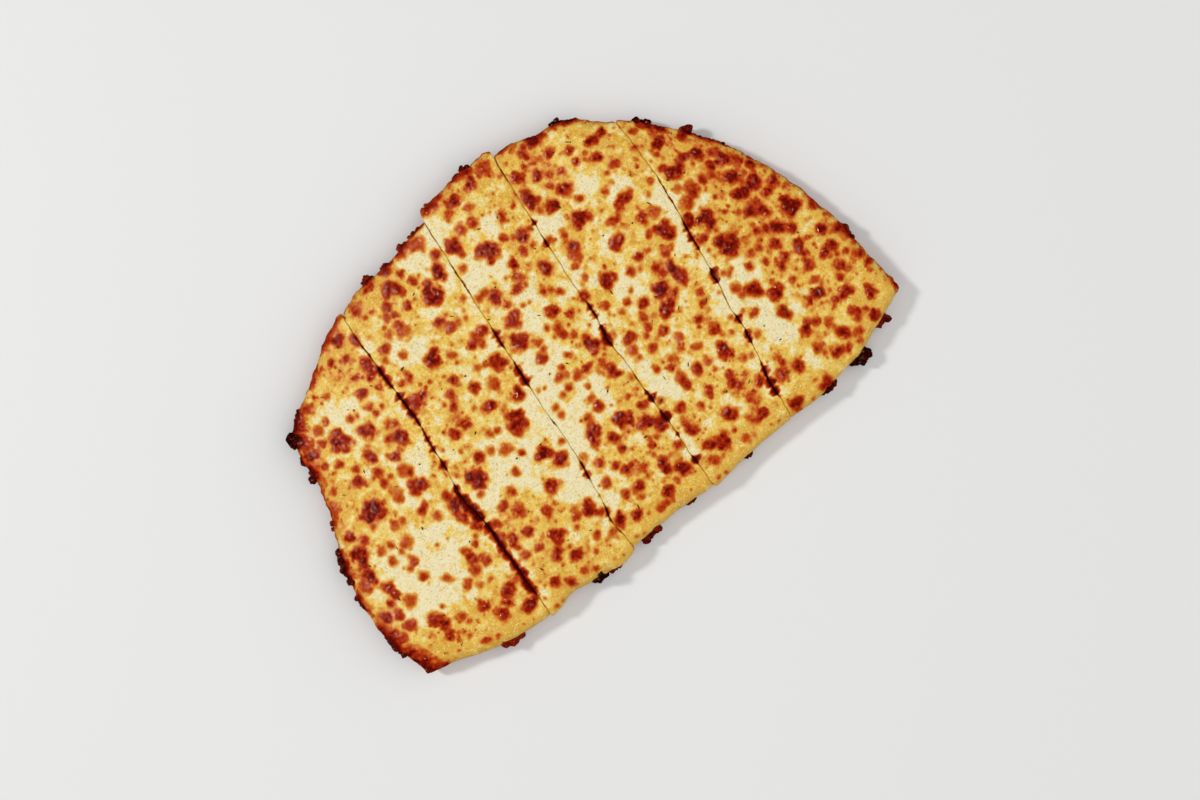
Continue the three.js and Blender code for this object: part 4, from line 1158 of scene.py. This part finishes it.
def wallRings(bx, by, strip):
    # loops from the wall's top down to the base, with how baked they are on the rim and, in a cut,
    # with painted shade of the narrow gap. On the rim they stand out by the profile, the rough crust
    # and the crags. In a cut they lie back by the crumb's pores, and step out where the cut is open
    # above, as the dough joins there.
    nx, ny = outwardOf(bx, by)
    rim = rimShareAt(bx, by, strip)
    wallTop = mix(doughTopAt(bx, by, strip), breadLook["wallTop"], rim)
    joinFrom, joinSpan = breadLook["join"]
    joined = np.maximum(0.0, openingBeside(bx, by, strip, "dough") - joinFrom)
    bakedRim, cutFaceShade, _ = breadLook["browned"]
    loops, tones = [], []
    for down in np.linspace(0.0, 1.0, breadLook["rings"] + 1):
        z = wallTop * (1 - down)
        rough = layeredNoise(bx + 1.9 * z, by - 1.6 * z, 4.0, 83)
        rough = rough + 0.5 * layeredNoise(bx - z, by + z, 1.5, 89, 2)
        live = smooth(0.0, 0.8, z)
        crag = cragField(bx, by, z, strip)
        onRim = np.interp(z, *breadLook["rimProfile"]) + breadLook["crust"] * rough * live
        onRim = np.maximum(onRim, crag * (1 + 0.25 * rough) - 0.4)
        pores = smooth(0.46, 0.12, cellNoise(bx + by * 0.3, z + by * 0.9, 2.4, 97)) * live
        onCut = -0.10 - breadLook["pores"] * pores - 0.12 * (1 + rough) - 0.5 * (1 - smooth(0.0, 0.9, z))
        out = mix(onCut + joined * smooth(*joinSpan, wallTop - z), onRim, rim)
        loops.append(np.stack((bx + nx * out, by + ny * out, z), -1))
        brownRim = bakedRim + 0.16 * rough + 0.22 * hump(z, 1.6) + 0.25 * smooth(0.4, 2.0, crag)
        # on a cut face the crumb is darkened as painted shade of the narrow gap: darker in the pores, at the
        # foot and under the cheese, where the crumb is also partly really toasted
        cutFaceToastAndShade = cutFaceShade + 0.12 * pores + 0.10 * rough
        cutFaceToastAndShade = cutFaceToastAndShade + 0.3 * hump(z, 1.3) + 0.5 * hump(wallTop - z, 4.5)
        tones.append(mix(cutFaceToastAndShade, brownRim, rim))
    return loops, tones


def wallPlaces(around, count):
    # map places of the wall's faces: share of the way round, share of the way down
    across = (np.arange(around)[:, None] + np.array((0, 1, 1, 0))) / around
    down = (np.arange(count)[:, None] + np.array((1, 1, 0, 0))) / count
    both = np.broadcast_arrays(across[None], down[:, None])
    return np.stack(both, -1).reshape(-1, 4, 2)


def breadPiece(strip, material):
    # loops down the wall from under the cheese to the base, closed by a lid and a base
    x, y = stripGrid(strip, "dough", breadLook["step"])
    rows, columns = x.shape
    border = borderLoop(rows, columns)
    around = len(border)
    loops, tones = wallRings(x.ravel()[border], y.ravel()[border], strip)
    rings = np.arange(len(loops) * around).reshape(-1, around)
    points = np.concatenate(loops)
    lidQuads, lidTriangles, lid = capParts(points, rings[0], rows, columns)
    lid[:, 2] = doughTopAt(lid[:, 0], lid[:, 1], strip)
    points = np.concatenate((points, lid))
    baseQuads, baseTriangles, base = capParts(points, rings[-1], rows, columns)
    points = np.concatenate((points, base))

    wallMap = intoIsland(wallPlaces(around, len(loops) - 1), islands["wall"])
    baseMap, lidMap = (intoIsland(points[:, 1::-1], islands[key]) for key in ("base", "lid"))
    faceSets = [(bandQuads(rings), wallMap), mapped(lidQuads, lidMap), mapped(lidTriangles, lidMap),
                mapped(baseQuads, baseMap, True), mapped(baseTriangles, baseMap, True)]
    underside = breadLook["browned"][2] + 0.18 * layeredNoise(base[:, 0], base[:, 1], 9.0, 101)
    bake = np.clip(np.concatenate((*tones, np.full(len(lid), 0.2), underside)), 0, 1)
    return makePiece(f"bread_{strip + 1}", points, faceSets, {"bake": bake}, material)


crispBits = {
    "each": 2.4,                     # length of a crag for each knob
    "radius": (1.1, 2.4),            # of a knob, before it grows with the crag's reach
    "growth": (0.72, 0.14),          # a knob's share of that radius, and more for each millimetre
    "drawnIn": (0.55, 1.0),          # shares of the crag's reach that its knobs stand out
    "lowerRow": (10.0, 0.4, 0.25),   # crags below this height have one: how much fewer, less far out
    "wander": 1.8,                   # of a knob's height
    "tall": (1.1, 1.9),              # height of a knob, as a share of its width
    "rough": (0.42, 0.16),           # coarse and fine unevenness, as shares of the radius
    "rows": 17, "columns": 24,       # of the grid round a knob
}


def roundBodies(rows, columns):
    # unit sphere: rings between two poles, and the faces that join them
    polar = np.linspace(0, pi, rows)[1:-1, None]
    around = np.linspace(0, 2 * pi, columns, endpoint=False)
    rings = np.stack((np.sin(polar) * np.cos(around), np.sin(polar) * np.sin(around),
                      np.cos(polar) * np.ones(columns)), -1).reshape(-1, 3)
    unit = np.concatenate((rings, [[0, 0, 1], [0, 0, -1]]))
    grid = np.arange((rows - 2) * columns).reshape(rows - 2, columns)
    turned = np.roll(grid, -1, 1)
    quads = np.stack((grid[:-1], grid[1:], turned[1:], turned[:-1]), -1).reshape(-1, 4)
    top = np.stack((np.full(columns, len(rings)), grid[0], turned[0]), -1)
    bottom = np.stack((np.full(columns, len(rings) + 1), turned[-1], grid[-1]), -1)
    return unit, quads, np.concatenate((top, bottom))


def manyBodies(points, quads, triangles):
    # repeats one body's faces for each body of points (count, vertices, 3)
    shift = (np.arange(len(points)) * points.shape[1])[:, None, None]
    return points.reshape(-1, 3), (quads + shift).reshape(-1, 4), (triangles + shift).reshape(-1, 3)


def crispKnobs(strip):
    # middles, radii, heights for their width and darkness of the knobs along each crag, and of
    # a lower row where it hangs: each one's outer side is out by
    # reach * sqrt(1 - 0.8 * along^2), lessened at random
    knobs = []
    hangsBelow, fewer, lessOut = crispBits["lowerRow"]
    base, growth = crispBits["growth"]
    for (cx, cy), lie, (length, reach, height, dark) in cragPlaces(strip):
        turn = np.radians(lie)
        for row, level in enumerate((height, height / 2 - 0.5) if height < hangsBelow else (height,)):
            count = max(2, int(round(length / crispBits["each"] / (1 + fewer * row))))
            k = np.arange(count) + 17 * row + int(cx)
            along = 0.92 * (2 * (np.arange(count) + 0.5) / count - 1)
            along = along + 0.5 * (spreadShare(k, 0) - 0.5) / count
            radius = mix(*crispBits["radius"], spreadShare(k, 2)) * (base + growth * reach)
            shrink = mix(*crispBits["drawnIn"], spreadShare(k, 1)) * (1 - lessOut * row)
            out = reach * np.sqrt(1 - 0.8 * along ** 2) * shrink - radius
            x = cx + np.cos(turn) * along * length / 2 + np.sin(turn) * out
            y = cy + np.sin(turn) * along * length / 2 - np.cos(turn) * out
            z = level + crispBits["wander"] * (2 * spreadShare(3.1 * k, 1) - 1)
            tall = mix(*crispBits["tall"], spreadShare(2.3 * k, 2))
            knobs.append((x, y, np.maximum(z, 0.8 * radius), radius, tall, np.full(count, dark)))
    x, y, z, radii, talls, darks = np.concatenate(knobs, 1)
    return np.stack((x, y, z), -1), radii, talls, darks


def crispPiece(strip, material):
    # knobs of caramelised cheese run together: round bodies made uneven by coarse and fine
    # noise, flattened on the ground where they reach it
    centres, radii, talls, darks = crispKnobs(strip)
    unit, quads, tips = roundBodies(crispBits["rows"], crispBits["columns"])
    spotX = unit[:, 0] * radii[:, None] + 3 * centres[:, :1]
    spotY = (unit[:, 1] + 0.7 * unit[:, 2]) * radii[:, None] + 3 * centres[:, 1:2]
    coarse, fine = crispBits["rough"]
    rough = 1 + coarse * layeredNoise(spotX, spotY, 1.9, 107, 2)
    rough = rough + fine * layeredNoise(spotX, spotY, 0.7, 109, 1)
    size = np.stack((radii, radii, radii * talls), -1)
    points = centres[:, None] + unit * rough[..., None] * size[:, None]
    points[..., 2] = np.maximum(points[..., 2], 0.02 + 0.02 * unit[:, 2])
    points, quads, tips = manyBodies(points, quads, tips)
    flat = intoIsland(points[:, :2], islands["whole"])
    x, y, z = points.T
    bake = np.repeat(darks, len(unit)) + 0.3 * layeredNoise(x + z, y, 3.0, 111, 2)
    return makePiece(f"crisp_bits_{strip + 1}", points, [mapped(quads, flat), mapped(tips, flat)],
                     {"bake": bake}, material)


shapes = [cheeseGeometry(strip) for strip in range(stripCount)]
meltedCheese, bakedDough, caramelised = cheeseMaterial(), breadMaterial(), crispMaterial()
for shape in shapes:
    strip = shape["strip"]
    cheese = cheesePiece(shape, meltedCheese)
    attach(cheese, "root")
    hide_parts(f"cheese_strip_{strip + 1}")
    bread = breadPiece(strip, bakedDough)
    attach(bread, "root")
    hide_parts(f"bread_strip_{strip + 1}")
    crisp = crispPiece(strip, caramelised)
    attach(crisp, "root")
    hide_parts(f"bread_strip_{strip + 1}")
    print("strip", strip + 1, "faces: cheese", len(cheese.data.polygons), "bread", len(bread.data.polygons),
          "crisp bits", len(crisp.data.polygons))


# Herbs: small curled flakes of dried leaf

herbs = {
    "flakes": ((-127, 3), (-136, 5), (-88, 142), (-83, 139), (-97, 125), (22, 32), (68, 156), (67, 157),
               (78, 109), (52, 72), (83, 28), (85, 18), (-17, 115), (3, 101), (27, 135)),
    "strewn": 16,                    # more on each strip
    "length": (1.0, 2.6),
    "width": 0.6,
    "thickness": 0.14,
    "rows": 5, "columns": 8,
}


def herbMaterial():
    # dark grey-green, stirred by noise
    nodes = Nodes("driedHerb")
    nodes.put("Base Color", nodes.ramp(nodes.noise(2200.0, 2.0), leafTones))
    nodes.gloss(*surfaces["herbGloss"])
    return nodes.material


def groundAt(places):
    # height of the cheese's nearest point, or 0 where none is within a millimetre
    ground = np.zeros(len(places))
    for shape in shapes:
        inside = (places[:, 0] > shape["x"].min()) & (places[:, 0] < shape["x"].max())
        for k in np.nonzero(inside)[0]:
            away = np.hypot(shape["x"] - places[k, 0], shape["y"] - places[k, 1])
            nearest = np.argmin(away)
            if away.ravel()[nearest] < 1.0:
                ground[k] = shape["z"].ravel()[nearest]
    return ground


def herbPiece(material):
    # each flake: an ellipsoid flattened to a leaf, bent by a parabola, turned and laid down
    places = list(herbs["flakes"])
    for strip in range(stripCount):
        k = np.arange(1, herbs["strewn"] + 1) + 900 + 31 * strip
        x, y = planAt(strip, "dough", 0.08 + 0.84 * spreadShare(k, 0), 0.05 + 0.9 * spreadShare(k, 1))
        places += list(zip(x, y))
    places = np.array(places)
    length, width, bend, turn = np.random.default_rng(7).random((4, len(places)))
    unit, quads, tips = roundBodies(herbs["rows"], herbs["columns"])
    unit = unit[:, [2, 0, 1]]            # the poles lie along the leaf
    length, width = mix(*herbs["length"], length), herbs["width"] * (0.6 + width)
    size = np.stack((length, width, np.full(len(places), herbs["thickness"])), -1) / 2
    x, y, z = np.moveaxis(unit * size[:, None], -1, 0)
    z = z + 0.25 * (bend[:, None] - 0.3) * unit[:, 0] ** 2 + 0.1 * np.sin(5 * unit[:, 0] + places[:, :1])
    cosine, sine = np.cos(pi * turn)[:, None], np.sin(pi * turn)[:, None]
    ground = groundAt(places)
    points = np.stack((places[:, :1] + x * cosine - y * sine, places[:, 1:] + x * sine + y * cosine,
                       ground[:, None] + z + 0.10), -1)
    points, quads, tips = manyBodies(points[ground > 1.0], quads, tips)
    flat = intoIsland(points[:, :2], islands["whole"])
    return makePiece("herb_flakes", points, [mapped(quads, flat), mapped(tips, flat)], {}, material)


herbFlakes = herbPiece(herbMaterial())
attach(herbFlakes, "root")
print("herb flakes", len(herbFlakes.data.polygons), "faces")


# Floor, light and camera

studio = {
    "floor": (231, 231, 230), "floorReach": 3.0,
    "world": (1.0, 1.0, 1.0), "worldStrength": 0.25,
    "key": {"at": (-1.25, 1.5, 2.0), "size": 0.4, "power": 34.0, "glints": True},
    "fill": {"at": (1.6, -1.1, 2.1), "size": 5.0, "power": 59.0, "glints": False},
    "side": {"at": (-1.6, -1.2, 2.1), "size": 4.4, "power": 23.5, "glints": False},
}
shot = {"above": 0.8225, "aim": (4.25 * mm, -30.98 * mm), "lens": 50.0, "turn": -39.67}


def makeFloor():
    # one pale square under the bread, which glossy cheese doesn't mirror
    nodes = Nodes("paleFloor")
    nodes.put("Base Color", toLinear(studio["floor"]))
    nodes.put("Roughness", 0.7)
    side = studio["floorReach"]
    corners = [(side * x, side * y, 0) for x, y in ((-1, -1), (1, -1), (1, 1), (-1, 1))]
    mesh = bpy.data.meshes.new("floor")
    mesh.from_pydata(corners, [], [range(4)])
    mesh.materials.append(nodes.material)
    floor = bpy.data.objects.new("floor", mesh)
    floor.visible_glossy = False
    bpy.context.scene.collection.objects.link(floor)


def makeLight(name, values):
    # round area light, aimed at the middle of the bread
    data = bpy.data.lights.new(name, "AREA")
    data.shape, data.size, data.energy = "DISK", values["size"], values["power"]
    light = bpy.data.objects.new(name, data)
    light.location = values["at"]
    light.rotation_euler = (-Vector(values["at"])).to_track_quat("-Z", "Y").to_euler()
    light.visible_glossy = values["glints"]
    bpy.context.scene.collection.objects.link(light)


makeFloor()
for name in ("key", "fill", "side"):
    makeLight(name, studio[name])
world = bpy.data.worlds.new("softRoom")
world.use_nodes = True
background = world.node_tree.nodes["Background"].inputs
background["Color"].default_value = (*studio["world"], 1.0)
background["Strength"].default_value = studio["worldStrength"]
world.cycles_visibility.glossy = False
bpy.context.scene.world = world
bpy.context.scene.view_settings.view_transform = "Standard"

camera = bpy.data.objects.new("camera", bpy.data.cameras.new("camera"))
camera.data.lens = shot["lens"]
camera.location = (*shot["aim"], shot["above"])
camera.rotation_euler = (0.0, 0.0, radians(shot["turn"]))
bpy.context.scene.collection.objects.link(camera)
bpy.context.scene.camera = camera
print("stage, lights and camera ready")
